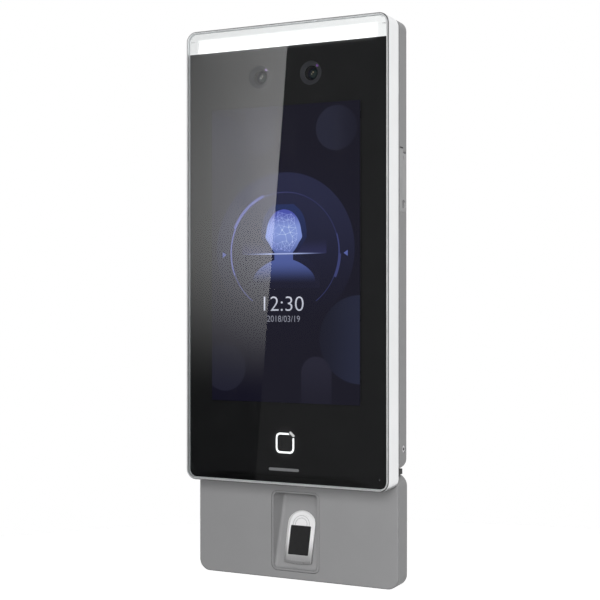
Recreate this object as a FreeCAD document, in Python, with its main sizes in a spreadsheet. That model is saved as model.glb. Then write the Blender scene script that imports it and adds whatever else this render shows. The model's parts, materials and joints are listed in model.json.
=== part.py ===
"""Wall-mounted access terminal with a face camera, a touch screen and a fingerprint reader.

Frame: X to the right, Y into the wall, Z up.  The origin is the centre of the bracket's
wall screw pattern, on the wall face.  Depths are given as distance from the wall, w = -Y.
"""
import FreeCAD, Part
import math
import os
import Sketcher

doc = FreeCAD.newDocument("fingerprint_scanner_terminal")
sheet = doc.addObject("Spreadsheet::Sheet", "dims")

# ---------------------------------------------------------------- driving dimensions (mm)
SIZES = [
    # front frame and everything stacked behind the cover glass
    ("frame_width", 117.4, "outside width of the front frame"),
    ("frame_height", 240.5, "outside height of the front frame"),
    ("frame_corner", 5.6, "outside corner radius seen from the front"),
    ("frame_front", 27.0, "front of the frame, from the wall"),
    ("frame_back", 13.2, "back edge of the frame's side band"),
    ("frame_wall", 1.8, "side wall of the frame"),
    ("frame_edge_round", 1.0, "fillet round the front lip"),
    ("flange_top", -109.0, "upper edge of the closed back flange at the bottom"),
    ("flange_front", 14.8, "inner face of that back flange"),
    ("ledge_front", 24.8, "face of the ledge that carries the glass"),
    ("ledge_back", 23.3, "rear face of the ledge"),
    ("ledge_open_width", 109.0, "opening inside the ledge"),
    ("ledge_open_height", 231.0, "opening inside the ledge"),
    ("ledge_corner", 2.0, "corner radius of the ledge opening"),
    ("glass_width", 115.0, "cover glass"),
    ("glass_height", 238.1, "cover glass"),
    ("glass_corner", 4.4, "cover glass corner radius"),
    ("glass_front", 26.9, "front face of the glass, just inside the lip"),
    ("glass_back", 25.1, "rear face of the glass"),
    ("glass_gap", 0.1, "gap between the glass edge and the frame"),
    ("print_back", 25.0, "rear face of the printed layers"),
    ("print_inset", 0.25, "print stops short of the glass edge"),
    ("light_bottom", 108.25, "lower edge of the lit window, upper edge of the black print"),
    ("light_top", 114.9, "upper edge of the lit window"),
    ("light_half", 52.0, "half width of the lit window"),
    ("light_corner", 1.8, "corner radius of the light bar"),
    ("screen_width", 85.92, "active area of a 7 inch 1024 x 600 panel, portrait"),
    ("screen_height", 154.21, "active area of that panel"),
    ("camera_across", 14.8, "camera axis from the centre line"),
    ("camera_up", 93.15, "camera axis above the origin"),
    ("camera_radius", 6.4, "camera barrel radius"),
    ("icon_up", -98.25, "centre of the card reader icon"),
    ("icon_side", 10.7, "side of the card reader icon"),
    ("mic_across", 53.0, "microphone hole from the centre line"),
    ("mic_up", -114.2, "microphone hole height"),
    # chassis and electronics
    ("chassis_width", 112.8, "mid chassis"),
    ("chassis_top", 117.0, "mid chassis"),
    ("chassis_bottom", -108.6, "mid chassis"),
    ("chassis_back", 17.6, "rear face of the chassis plate"),
    ("chassis_front", 19.8, "front face of the chassis plate"),
    ("chassis_screw_across", 54.4, "chassis screws into the frame's bosses"),
    ("chassis_screw_up", 96.0, "chassis screw rows above and below the middle row"),
    ("board_half", 46.0, "half width of the main board"),
    ("board_top", 72.0, "upper edge of the main board"),
    ("board_bottom", -40.5, "lower edge of the main board"),
    ("board_back", 11.9, "rear face of the main board"),
    ("board_front", 13.5, "front face of the main board"),
    # rear casing
    ("case_width", 117.0, "rear casing"),
    ("case_top", 120.05, "rear casing"),
    ("case_bottom", -111.0, "rear casing"),
    ("case_corner", 5.4, "rear casing corner radius"),
    ("case_back", 0.3, "back rim of the casing, just off the wall"),
    ("case_front", 11.6, "front rim of the casing, at the shadow groove"),
    ("case_wall", 2.0, "casing wall"),
    ("case_floor", 3.2, "inner face of the casing's back wall"),
    ("case_back_round", 2.0, "fillet round the back"),
    ("tongue_half", 56.7, "half width of the tongue that enters the frame"),
    ("tongue_front", 16.0, "front edge of that tongue"),
    ("tongue_wall", 1.2, "tongue wall"),
    ("bracket_recess", 1.6, "depth level of the recess that takes the wall bracket"),
    ("well_half", 34.0, "half width of the wiring well"),
    ("well_top", -43.5, "upper inside face of the wiring well"),
    ("well_bottom", -80.0, "lower inside face of the wiring well"),
    ("well_roof", 15.4, "front inside face of the wiring well"),
    ("well_wall", 1.5, "wall of the wiring well"),
    ("case_screw_across", 49.6, "casing screws"),
    ("case_screw_radius", 1.25, "casing screw shank"),
    ("case_screw_head", 2.3, "casing screw head radius"),
    # service port on the right side
    ("bay_bottom", 21.25, "lower edge of the port bay"),
    ("bay_top", 54.45, "upper edge of the port bay"),
    ("bay_back", 2.3, "back edge of the port bay"),
    ("bay_front", 11.0, "front edge of the port bay"),
    ("bay_floor", 55.0, "outer face of the bay's floor"),
    ("bay_floor_wall", 1.5, "thickness of the bay's floor"),
    ("cover_gap", 0.1, "gap round the port cover"),
    ("cover_thick", 1.6, "port cover plate"),
    ("hinge_across", 57.2, "hinge axis of the port cover"),
    ("hinge_up", 53.05, "hinge axis of the port cover"),
    ("hinge_radius", 1.3, "hinge barrel radius"),
    ("hinge_pin_radius", 0.6, "hinge pin radius"),
    ("knuckle_front", 6.3, "front end of the casing's hinge knuckle"),
    ("button_up", 44.5, "reset button height"),
    ("button_depth", 9.0, "reset button, from the wall"),
    ("button_radius", 1.4, "reset button radius"),
    ("running_gap", 0.06, "radial clearance of what slides or turns"),
    ("plunger_across", 15.0, "tamper plunger"),
    ("plunger_up", 30.0, "tamper plunger"),
    ("plunger_radius", 1.5, "tamper plunger radius"),
    # wall bracket and its screws
    ("bracket_thick", 1.2, "steel sheet"),
    ("bracket_half", 50.0, "half width of the bracket"),
    ("bracket_top", 70.0, "upper edge of the bracket"),
    ("bracket_bottom", -105.0, "lower edge of the bracket"),
    ("wall_screw_pitch_x", 80.0, "wall screw pattern"),
    ("wall_screw_pitch_z", 120.0, "wall screw pattern"),
    ("wall_screw_hole", 2.25, "wall screw hole radius"),
    ("wall_screw_room", 5.2, "radius of the domes over the wall screws' heads"),
    ("hook_across", 20.0, "hooks that carry the terminal"),
    ("tab_outer", 55.6, "outer face of the bracket's side tabs"),
    ("side_screw_up", -100.4, "side security screw height"),
    ("side_screw_depth", 5.3, "side security screw, from the wall"),
    ("side_screw_radius", 1.25, "side security screw shank"),
    ("side_screw_head", 1.85, "side security screw head radius"),
    # fingerprint module
    ("module_width", 117.0, "module outside width"),
    ("module_top", -113.65, "module upper edge"),
    ("module_bottom", -171.75, "module lower edge"),
    ("module_corner", 6.3, "module corner radius"),
    ("module_front_face", 13.0, "module front, set back behind the frame"),
    ("module_joint", 1.7, "joint between module front and back"),
    ("module_wall", 2.0, "module wall"),
    ("module_edge_round", 0.85, "fillet round the module front"),
    ("neck_screw_across", 28.0, "screws that hold the module to the terminal"),
    ("neck_depth", 6.5, "those screws and the ribbon, from the wall"),
    ("ribbon_across", 41.5, "ribbon cable to the main board"),
    ("cradle_width", 27.9, "finger cradle insert"),
    ("cradle_height", 42.3, "finger cradle insert"),
    ("cradle_middle", -146.3, "middle of the finger cradle"),
    ("cradle_corner", 3.2, "finger cradle corner radius"),
    ("cradle_rim", 1.0, "flat rim round the finger recess"),
    ("cradle_draft", 11.0, "draft of the recess walls, in degrees"),
    ("recess_floor_top", 2.6, "recess floor at its deep upper end, from the wall"),
    ("recess_floor_bottom", 11.5, "recess floor at its shallow lower end"),
    ("recess_round", 1.8, "fillet between the recess floor and its walls"),
    ("sensor_across", 0.6, "sensor axis"),
    ("sensor_up", -151.45, "middle of the sensor window"),
    ("sensor_depth", 9.1, "face of the sensor bezel at its middle, from the wall"),
    ("sensor_tilt", 15.0, "lean of the sensor bezel, in degrees"),
    ("sensor_width", 11.8, "sensor window"),
    ("sensor_height", 15.4, "sensor window"),
    ("bezel_half", 8.05, "half width of the thumb-shaped bezel"),
    ("bezel_dome", 8.45, "centre of the bezel's round top, above its middle"),
    ("bezel_foot", -11.5, "lower end of the bezel's straight sides"),
]


class Size:
    """A length that carries both its number and the spreadsheet formula behind it."""

    def __init__(self, value, formula):
        self.value = value
        self.formula = formula

    def __add__(self, other):
        return combine(self, "+", other)

    def __radd__(self, other):
        return combine(other, "+", self)

    def __sub__(self, other):
        return combine(self, "-", other)

    def __rsub__(self, other):
        return combine(other, "-", self)

    def __mul__(self, other):
        return combine(self, "*", other)

    def __rmul__(self, other):
        return combine(other, "*", self)

    def __truediv__(self, other):
        return combine(self, "/", other)

    def __neg__(self):
        return combine(0, "-", self)


def size(number):
    """Make a plain number usable wherever a Size is."""
    if isinstance(number, Size):
        return number
    return Size(float(number), f"{number:g}")


def combine(left, sign, right):
    left = size(left)
    right = size(right)
    results = {
        "+": left.value + right.value,
        "-": left.value - right.value,
        "*": left.value * right.value,
    }
    if sign == "/":
        results["/"] = left.value / right.value
    return Size(results[sign], f"({left.formula} {sign} {right.formula})")


class Dims:
    """The sheet's cells by name, as Sizes."""


d = Dims()
for row, (alias, number, note) in enumerate(SIZES, start=1):
    sheet.set(f"A{row}", alias)
    sheet.set(f"B{row}", str(number))
    sheet.set(f"C{row}", note)
    sheet.setAlias(f"B{row}", alias)
    setattr(d, alias, Size(number, f"dims.{alias}"))
doc.recompute()


# ---------------------------------------------------------------- sketch outlines
def bind(target, prop, amount):
    """Tie a property to the spreadsheet."""
    target.setExpression(prop, size(amount).formula)


def hold(sketch, kind, *args):
    """Add a constraint; its last argument is a Size, bound to the sheet."""
    amount = size(args[-1])
    index = sketch.addConstraint(Sketcher.Constraint(kind, *args[:-1], amount.value))
    name = f"{kind}{index}"
    sketch.renameConstraint(index, name)
    bind(sketch, f"Constraints.{name}", amount)


def place_point(sketch, edge, point, across, up):
    hold(sketch, "DistanceX", -1, 1, edge, point, across)
    hold(sketch, "DistanceY", -1, 1, edge, point, up)


def polygon(*points):
    """Closed outline through the given points."""

    def draw(sketch):
        corners = [FreeCAD.Vector(size(a).value, size(b).value, 0) for a, b in points]
        first = sketch.GeometryCount
        count = len(corners)
        for i in range(count):
            sketch.addGeometry(Part.LineSegment(corners[i], corners[(i + 1) % count]), False)
        for i in range(count):
            following = first + (i + 1) % count
            sketch.addConstraint(Sketcher.Constraint("Coincident", first + i, 2, following, 1))
        for i, (across, up) in enumerate(points):
            place_point(sketch, first + i, 1, across, up)

    return draw


def rect(left, right, low, high, corner=None):
    """Upright rectangle, with rounded corners if a radius is given."""
    if corner is None:
        return polygon((left, low), (right, low), (right, high), (left, high))

    def draw(sketch):
        x0, x1, z0, z1, r = [size(v).value for v in (left, right, low, high, corner)]
        first = sketch.GeometryCount
        ends = [
            ((x0 + r, z0), (x1 - r, z0)),
            ((x1, z0 + r), (x1, z1 - r)),
            ((x1 - r, z1), (x0 + r, z1)),
            ((x0, z1 - r), (x0, z0 + r)),
        ]
        for start, end in ends:
            line = Part.LineSegment(FreeCAD.Vector(*start, 0), FreeCAD.Vector(*end, 0))
            sketch.addGeometry(line, False)
        centres = [(x1 - r, z0 + r), (x1 - r, z1 - r), (x0 + r, z1 - r), (x0 + r, z0 + r)]
        for quarter, centre in enumerate(centres):
            circle = Part.Circle(FreeCAD.Vector(*centre, 0), FreeCAD.Vector(0, 0, 1), r)
            begin = (quarter - 1) * math.pi / 2
            sketch.addGeometry(Part.ArcOfCircle(circle, begin, begin + math.pi / 2), False)
        for i in range(4):
            line = first + i
            arc = first + 4 + i
            following = first + (i + 1) % 4
            sketch.addConstraint(Sketcher.Constraint("Tangent", line, 2, arc, 1))
            sketch.addConstraint(Sketcher.Constraint("Tangent", arc, 2, following, 1))
            sketch.addConstraint(Sketcher.Constraint(("Horizontal", "Vertical")[i % 2], line))
        for i in range(1, 4):
            sketch.addConstraint(Sketcher.Constraint("Equal", first + 4, first + 4 + i))
        hold(sketch, "Radius", first + 4, corner)
        hold(sketch, "DistanceY", -1, 1, first, 1, low)
        hold(sketch, "DistanceX", -1, 1, first + 1, 1, right)
        hold(sketch, "DistanceY", -1, 1, first + 2, 1, high)
        hold(sketch, "DistanceX", -1, 1, first + 3, 1, left)

    return draw


def block(width, height, across=0, up=0, corner=None):
    """Rectangle given by its size and its middle."""
    half = width / 2
    rise = height / 2
    return rect(across - half, across + half, up - rise, up + rise, corner)


def disc(across, up, radius):
    """Full circle."""

    def draw(sketch):
        centre = FreeCAD.Vector(size(across).value, size(up).value, 0)
        circle = Part.Circle(centre, FreeCAD.Vector(0, 0, 1), size(radius).value)
        index = sketch.addGeometry(circle, False)
        hold(sketch, "Radius", index, radius)
        place_point(sketch, index, 3, across, up)

    return draw


def discs(points, radius):
    return [disc(across, up, radius) for across, up in points]


def thumb(half, dome, foot, sag):
    """Upright bar with a round top and a slightly bowed foot."""

    def draw(sketch):
        r, top, low, bow = [size(v).value for v in (half, dome, foot, sag)]
        first = sketch.GeometryCount
        left_line = Part.LineSegment(FreeCAD.Vector(-r, top, 0), FreeCAD.Vector(-r, low, 0))
        foot_arc = Part.Arc(
            FreeCAD.Vector(-r, low, 0), FreeCAD.Vector(0, low - bow, 0), FreeCAD.Vector(r, low, 0)
        )
        right_line = Part.LineSegment(FreeCAD.Vector(r, low, 0), FreeCAD.Vector(r, top, 0))
        circle = Part.Circle(FreeCAD.Vector(0, top, 0), FreeCAD.Vector(0, 0, 1), r)
        for shape in (left_line, foot_arc, right_line, Part.ArcOfCircle(circle, 0, math.pi)):
            sketch.addGeometry(shape, False)
        joins = [(0, 2, 1, 1), (1, 2, 2, 1), (2, 2, 3, 1), (3, 2, 0, 1)]
        for edge, point, other, other_point in joins:
            sketch.addConstraint(
                Sketcher.Constraint("Coincident", first + edge, point, first + other, other_point)
            )
        place_point(sketch, first, 1, -half, dome)
        place_point(sketch, first, 2, -half, foot)
        place_point(sketch, first + 2, 1, half, foot)
        place_point(sketch, first + 2, 2, half, dome)
        hold(sketch, "DistanceY", -1, 1, first + 3, 3, dome)
        bow_radius = (half * half + sag * sag) / (2 * sag)
        hold(sketch, "Radius", first + 1, bow_radius)

    return draw


def mirrored(*points):
    """The points on both sides of the centre line."""
    both = []
    for across, up in points:
        both.append((across, up))
        both.append((-across, up))
    return both


# ---------------------------------------------------------------- sub-parts
PLANES = {
    "front": "XZ_Plane",  # sketch axes X and Z, built up towards the front
    "side": "YZ_Plane",   # sketch axes Y and Z, built up towards the right
    "top": "XY_Plane",    # sketch axes X and Y, built up upwards
}
AXES = {"front": "Y", "side": "X", "top": "Z"}
pieces = []


class Piece:
    """One physical piece: a body whose features are added or cut between two levels."""

    def __init__(self, label, across=0, depth=0, up=0, turn=0):
        self.label = label
        self.body = doc.addObject("PartDesign::Body", label)
        self.body.Label = label
        self.body.AllowCompound = True
        rotation = FreeCAD.Rotation(FreeCAD.Vector(1, 0, 0), size(turn).value)
        self.body.Placement = FreeCAD.Placement(FreeCAD.Vector(0, 0, 0), rotation)
        bind(self.body, "Placement.Base.x", across)
        bind(self.body, "Placement.Base.y", -size(depth))
        bind(self.body, "Placement.Base.z", up)
        self.cuts = []
        pieces.append(self)

    def plane(self, name):
        roles = {feature.Role: feature for feature in self.body.Origin.OriginFeatures}
        return roles[PLANES[name]]

    def sketch(self, plane, level, outlines):
        name = f"{self.label}_outline_{len(self.body.Group)}"
        sketch = self.body.newObject("Sketcher::SketchObject", name)
        sketch.AttachmentSupport = [(self.plane(plane), "")]
        sketch.MapMode = "FlatFace"
        bind(sketch, "AttachmentOffset.Base.z", level)
        for outline in outlines:
            outline(sketch)
        sketch.Visibility = False
        return sketch

    def add(self, plane, low, high, *outlines):
        """Material between two levels above the plane."""
        sketch = self.sketch(plane, low, outlines)
        pad = self.body.newObject("PartDesign::Pad", f"{self.label}_pad_{len(self.body.Group)}")
        pad.Profile = sketch
        pad.Length = size(high - low).value
        bind(pad, "Length", high - low)
        return self

    def cut(self, plane, low, high, *outlines, taper=None):
        """Remove what lies between two levels, working down from the upper one."""
        sketch = self.sketch(plane, high, outlines)
        name = f"{self.label}_pocket_{len(self.body.Group)}"
        before = self.body.Tip
        pocket = self.body.newObject("PartDesign::Pocket", name)
        pocket.Profile = sketch
        pocket.Length = size(high - low).value
        bind(pocket, "Length", high - low)
        if taper is not None:
            bind(pocket, "TaperAngle", -taper)
        self.cuts.append((before, pocket))
        return self

    def revolve(self, *points):
        """Turn a profile, given as (radius, depth) points, about the piece's own Y axis."""
        sketch = self.sketch("top", 0, [polygon(*[(r, -size(w)) for r, w in points])])
        turned = self.body.newObject("PartDesign::Revolution", f"{self.label}_turned")
        turned.Profile = sketch
        turned.ReferenceAxis = (sketch, ["V_Axis"])
        turned.Angle = 360
        return self

    def edges(self, plane, level, keep=None):
        """Names of the edges that lie flat at a level above a plane."""
        doc.recompute()
        axis = AXES[plane]
        value = -size(level).value if plane == "front" else size(level).value
        names = []
        for index, edge in enumerate(self.body.Tip.Shape.Edges, start=1):
            low = getattr(edge.BoundBox, axis + "Min")
            high = getattr(edge.BoundBox, axis + "Max")
            flat = abs(low - value) < 1e-3 and abs(high - value) < 1e-3
            if flat and (keep is None or keep(edge)):
                names.append(f"Edge{index}")
        return names

    def round(self, radius, names):
        base = self.body.Tip
        name = f"{self.label}_fillet_{len(self.body.Group)}"
        fillet = self.body.newObject("PartDesign::Fillet", name)
        fillet.Base = (base, names)
        fillet.Radius = size(radius).value
        bind(fillet, "Radius", radius)
        return self

    def bevel(self, first, second, names):
        """Chamfer with one distance on each side of the edges."""
        base = self.body.Tip
        name = f"{self.label}_chamfer_{len(self.body.Group)}"
        chamfer = self.body.newObject("PartDesign::Chamfer", name)
        chamfer.Base = (base, names)
        chamfer.ChamferType = "Two distances"
        chamfer.Size = first
        chamfer.Size2 = second
        return self


def plate(label, low, high, *outlines):
    """A flat piece between two distances from the wall."""
    return Piece(label).add("front", low, high, *outlines)


# ---------------------------------------------------------------- cover glass and its prints
def glass_outline(inset=0):
    return block(
        d.glass_width - 2 * size(inset),
        d.glass_height - 2 * size(inset),
        corner=d.glass_corner - inset,
    )


mic_hole = 0.5
camera_window = d.camera_radius - 0.2
camera_points = mirrored((d.camera_across, d.camera_up))

cover_glass = plate("cover_glass", d.glass_back, d.glass_front, glass_outline())
cover_glass.round(0.25, cover_glass.edges("front", d.glass_front))
cover_glass.cut("front", d.glass_back, d.glass_front, disc(d.mic_across, d.mic_up, mic_hole))

print_half = d.glass_width / 2 - d.print_inset
print_top = d.glass_height / 2 - d.print_inset
icon_line = 1.0
icon_inner = d.icon_side - 2 * icon_line
glass_mask = plate(
    "glass_mask", d.print_back, d.glass_back, rect(-print_half, print_half, -print_top, print_top, 4.1)
)
glass_mask.cut(
    "front", d.print_back, d.glass_back,
    rect(-d.glass_width, d.glass_width, d.light_bottom, d.glass_height),
)
glass_mask.cut(
    "front", d.print_back, d.glass_back,
    block(d.screen_width, d.screen_height),
    *discs(camera_points, camera_window),
    disc(d.mic_across, d.mic_up, mic_hole),
    block(d.icon_side, d.icon_side, up=d.icon_up, corner=2.6),
)
glass_mask.add("front", d.print_back, d.glass_back, block(icon_inner, icon_inner, up=d.icon_up, corner=1.7))

light_print = plate(
    "light_window_print", d.print_back, d.glass_back,
    rect(-print_half, print_half, -print_top, print_top, 4.1),
)
light_print.cut(
    "front", d.print_back, d.glass_back,
    rect(-d.glass_width, d.glass_width, -d.glass_height, d.light_bottom),
)
light_print.cut(
    "front", d.print_back, d.glass_back,
    rect(-d.light_half, d.light_half, d.light_bottom + 0.3, d.light_top, d.light_corner),
)

glass_tape = plate("glass_tape", d.ledge_front, d.print_back, glass_outline(0.6))
glass_tape.cut(
    "front", d.ledge_front, d.print_back,
    block(d.ledge_open_width + 0.6, d.ledge_open_height + 0.6, corner=d.ledge_corner),
)

# ---------------------------------------------------------------- front frame
frame_rows = (d.chassis_screw_up, size(0), -d.chassis_screw_up)
chassis_screw_points = mirrored(*[(d.chassis_screw_across, up) for up in frame_rows])
boss_radius = 2.4
chassis_screw_radius = 1.0
cavity_half = d.frame_width / 2 - d.frame_wall
cavity_top = d.frame_height / 2 - d.frame_wall
cavity_corner = d.frame_corner - d.frame_wall

front_frame = plate(
    "front_frame", d.frame_back, d.frame_front,
    block(d.frame_width, d.frame_height, corner=d.frame_corner),
)
front_frame.round(d.frame_edge_round, front_frame.edges("front", d.frame_front))
front_frame.round(0.2, front_frame.edges("front", d.frame_back))
front_frame.cut(
    "front", d.ledge_front, d.frame_front,
    block(
        d.glass_width + 2 * d.glass_gap,
        d.glass_height + 2 * d.glass_gap,
        corner=d.glass_corner + d.glass_gap,
    ),
)
front_frame.cut(
    "front", d.ledge_back, d.ledge_front,
    block(d.ledge_open_width, d.ledge_open_height, corner=d.ledge_corner),
)
front_frame.cut(
    "front", d.flange_front, d.ledge_back,
    rect(-cavity_half, cavity_half, -cavity_top, cavity_top, cavity_corner),
)
front_frame.cut(
    "front", d.frame_back, d.flange_front,
    rect(-cavity_half, cavity_half, d.flange_top, cavity_top, cavity_corner),
)
front_frame.add("front", d.chassis_front, d.ledge_back, *discs(chassis_screw_points, boss_radius))
front_frame.cut(
    "front", d.chassis_front, d.ledge_back - 0.3, *discs(chassis_screw_points, chassis_screw_radius)
)

# ---------------------------------------------------------------- light bar, screen and cameras
light_middle = (d.light_bottom + d.light_top) / 2
light_height = d.light_top - d.light_bottom - 0.2
plate(
    "light_bar", 21.6, d.print_back - 0.1,
    block(2 * d.light_half - 0.2, light_height, up=light_middle, corner=d.light_corner),
)
plate("light_board", 20.0, 21.0, block(size(102), size(6), up=light_middle))
led_count = 14
led_pitch = 7.2
led_places = [(i - (led_count - 1) / 2) * led_pitch for i in range(led_count)]
plate(
    "fill_light_leds", 21.0, 21.55,
    *[block(size(2.8), size(3.5), across, light_middle) for across in led_places],
)

plate("lcd_panel", 23.1, 24.6, block(size(93), size(162)))
lcd_backlight = plate("lcd_backlight", 20.0, 23.05, block(size(98), size(164.8), corner=1.0))
lcd_backlight.cut("front", 22.4, 23.05, block(size(95), size(161.8), corner=0.5))


def camera(barrel_name, lens_name, across):
    """Stepped barrel open to the front, with a domed lens in its throat."""
    barrel = Piece(barrel_name, across=across, up=d.camera_up)
    barrel.revolve(
        (0, 16.2), (5.0, 16.2), (5.0, 18.5), (d.camera_radius, 18.5), (d.camera_radius, 24.7),
        (5.8, 24.7), (5.4, 24.0), (4.5, 23.6), (4.3, 22.6), (3.5, 22.2), (3.1, 21.0), (0, 21.0),
    )
    lens = Piece(lens_name, across=across, up=d.camera_up)
    lens.revolve(
        (0, 21.1), (2.95, 21.1), (2.95, 21.7), (2.7, 22.15),
        (2.2, 22.55), (1.5, 22.85), (0.7, 23.02), (0, 23.05),
    )


camera("colour_camera_barrel", "colour_camera_lens", d.camera_across)
camera("infrared_camera_barrel", "infrared_camera_lens", -d.camera_across)

camera_holder = plate(
    "camera_holder", 17.2, 22.4, block(size(56), size(17), up=d.camera_up, corner=2.0)
)
camera_holder.cut("front", 17.2, 22.4, *discs(camera_points, d.camera_radius + 0.1))
infrared_led_points = mirrored((24.6, d.camera_up))
infrared_led_radius = 1.6
camera_holder.cut("front", 17.2, 22.4, *discs(infrared_led_points, infrared_led_radius + 0.1))
plate("infrared_leds", 17.2, 23.4, *discs(infrared_led_points, infrared_led_radius))
plate("camera_board", 15.1, 16.1, block(size(54), size(17), up=d.camera_up))

antenna_board = plate("card_antenna_board", 21.6, 22.6, rect(-51, 51, -115.2, -91.8))
antenna_board.add("front", 21.6, 22.6, rect(-54, 54, -115.2, -102))
plate(
    "icon_light_guide", 22.6, d.print_back - 0.1,
    block(size(11.5), size(11.5), up=d.icon_up, corner=2.0),
)
plate("microphone", 22.6, 24.6, disc(d.mic_across, d.mic_up, 1.0))

# ---------------------------------------------------------------- chassis and main board
case_rows = (size(108), size(-14), size(-92))
case_screw_points = mirrored(*[(d.case_screw_across, up) for up in case_rows])
board_screw_points = mirrored((40, 66), (40, -20))
board_screw_radius = 1.0

chassis = plate(
    "mid_chassis", d.chassis_back, d.chassis_front,
    rect(-d.chassis_width / 2, d.chassis_width / 2, d.chassis_bottom, d.chassis_top, 3.4),
)
chassis.cut(
    "front", d.chassis_back, d.chassis_front,
    block(size(58), size(19), up=d.camera_up, corner=2.0),
    *discs(chassis_screw_points, chassis_screw_radius + 0.15),
)
chassis.add("front", 15.9, d.chassis_back, *discs(case_screw_points, 2.9))
chassis.add("front", d.board_front, d.chassis_back, *discs(board_screw_points, 2.6))
chassis.cut("front", 15.9, 19.4, *discs(case_screw_points, d.case_screw_radius))
chassis.cut("front", d.board_front, 17.4, *discs(board_screw_points, board_screw_radius))

head_height = 1.3
head_radius = 1.9
drive_depth = 0.7
drive_radius = 0.9
chassis_head = d.chassis_back - head_height
chassis_screws = plate(
    "chassis_screws", chassis_head, d.chassis_back, *discs(chassis_screw_points, head_radius)
)
chassis_screws.add(
    "front", d.chassis_back, d.ledge_back - 0.8, *discs(chassis_screw_points, chassis_screw_radius)
)
chassis_screws.cut(
    "front", chassis_head, chassis_head + drive_depth, *discs(chassis_screw_points, drive_radius)
)

socket_left = -30.0
socket_right = -14.0
main_board = plate(
    "main_board", d.board_back, d.board_front,
    rect(-d.board_half, d.board_half, d.board_bottom, d.board_top, 1.5),
)
main_board.cut(
    "front", d.board_back, d.board_front, *discs(board_screw_points, board_screw_radius + 0.15)
)
# the network socket sits in a notch of the board
main_board.cut(
    "front", d.board_back, d.board_front,
    rect(socket_left - 0.2, socket_right + 0.2, d.board_bottom - 1, -24.0),
)
board_head = d.board_back - head_height
board_screws = plate("board_screws", board_head, d.board_back, *discs(board_screw_points, head_radius))
board_screws.add("front", d.board_back, 17.0, *discs(board_screw_points, board_screw_radius))
board_screws.cut("front", board_head, board_head + drive_depth, *discs(board_screw_points, drive_radius))

plate("processor", 10.5, d.board_back, block(size(16), size(16), -6, 46))
plate(
    "memory_chips", 10.8, d.board_back,
    block(size(9), size(13), -22, 54),
    block(size(9), size(13), -22, 38),
)
plate("thermal_pad", 9.6, 10.5, block(size(15), size(15), -6, 46))
heat_sink = plate("heat_sink", 7.6, 9.6, block(size(44), size(32), -10, 46, corner=1.0))
fin_count = 8
fin_pitch = 4.2
fin_places = [46 + (i - (fin_count - 1) / 2) * fin_pitch for i in range(fin_count)]
heat_sink.add("front", 5.4, 7.6, *[block(size(44), size(1.2), -10, up) for up in fin_places])

plate("door_relay", 6.9, d.board_back, block(size(14), size(9), 16, -12, corner=0.6))
cell_holder = plate("cell_holder", 8.6, d.board_back, block(size(17), size(15), -32, 6, corner=1.5))
cell_holder.cut("front", 8.6, 10.9, disc(-32, 6, 6.35))
plate("backup_cell", 8.9, 10.9, disc(-32, 6, 6.25))

# ---------------------------------------------------------------- sockets behind the wiring well
network_socket = plate(
    "network_socket", 3.7, 15.2, rect(socket_left, socket_right, d.well_top + 1.6, -24.4)
)
plug_low = d.well_top + 1.0
plug_high = -29.0
network_socket.cut("front", 5.3, 12.9, rect(socket_left + 2.0, socket_right - 2.0, plug_low, plug_high))
network_socket.cut("front", 12.9, 14.2, rect(socket_left + 4.9, socket_right - 4.9, plug_low, plug_high))

header_width = 38.5
header_middle = 11.5
header_pins = 10
header_pitch = 3.5
headers = plate(
    "wiring_headers", 3.9, d.board_back,
    rect(header_middle - header_width / 2, header_middle + header_width / 2, d.well_top + 1.6, -32.0),
)
header_cells = []
for pin in range(header_pins):
    middle = header_middle + (pin - (header_pins - 1) / 2) * header_pitch
    header_cells.append(rect(middle - 1.4, middle + 1.4, d.well_top + 1.0, -34.5))
headers.cut("front", 5.0, 10.6, *header_cells)

loudspeaker = plate("loudspeaker", 5.0, 12.0, rect(-53.4, -37.0, -78.0, -48.0, 2.5))
loudspeaker.cut("side", -53.4, -52.2, rect(-10.9, -6.1, -76.0, -50.0, 1.8))

# ---------------------------------------------------------------- rear casing
case_half = d.case_width / 2
case_inner = case_half - d.case_wall
tongue_low = d.flange_top + 0.2
tongue_high = cavity_top - 0.2
tongue_corner = cavity_corner - 0.2
inside_tongue = rect(
    -d.tongue_half + d.tongue_wall, d.tongue_half - d.tongue_wall,
    tongue_low + d.tongue_wall, tongue_high - d.tongue_wall, tongue_corner - d.tongue_wall,
)
well_outer = d.well_half + d.well_wall
neck_screw_points = mirrored((d.neck_screw_across, -d.neck_depth))
ribbon_slot = rect(
    d.ribbon_across - 6.5, d.ribbon_across + 6.5, -d.neck_depth - 2, -d.neck_depth + 2, 0.8
)

wall_screw_points = mirrored(
    (d.wall_screw_pitch_x / 2, d.wall_screw_pitch_z / 2),
    (d.wall_screw_pitch_x / 2, -d.wall_screw_pitch_z / 2),
)

casing = plate(
    "rear_casing", d.case_back, d.case_front,
    rect(-case_half, case_half, d.case_bottom, d.case_top, d.case_corner),
)
casing.round(d.case_back_round, casing.edges("front", d.case_back))
casing.add(
    "front", d.case_front, d.tongue_front,
    rect(-d.tongue_half, d.tongue_half, tongue_low, tongue_high, tongue_corner),
)
casing.cut("front", d.case_front, d.tongue_front, inside_tongue)
casing.cut(
    "front", d.case_floor, d.case_front,
    rect(-case_inner, case_inner, d.case_bottom + d.case_wall, d.case_top - d.case_wall, 3.4),
)
# a step joins the wider casing wall to the narrower tongue
casing.add(
    "front", d.case_front - 1.4, d.case_front,
    rect(-case_half + 0.5, case_half - 0.5, d.case_bottom + 0.5, d.case_top - 0.5, 4.9),
    inside_tongue,
)
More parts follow.
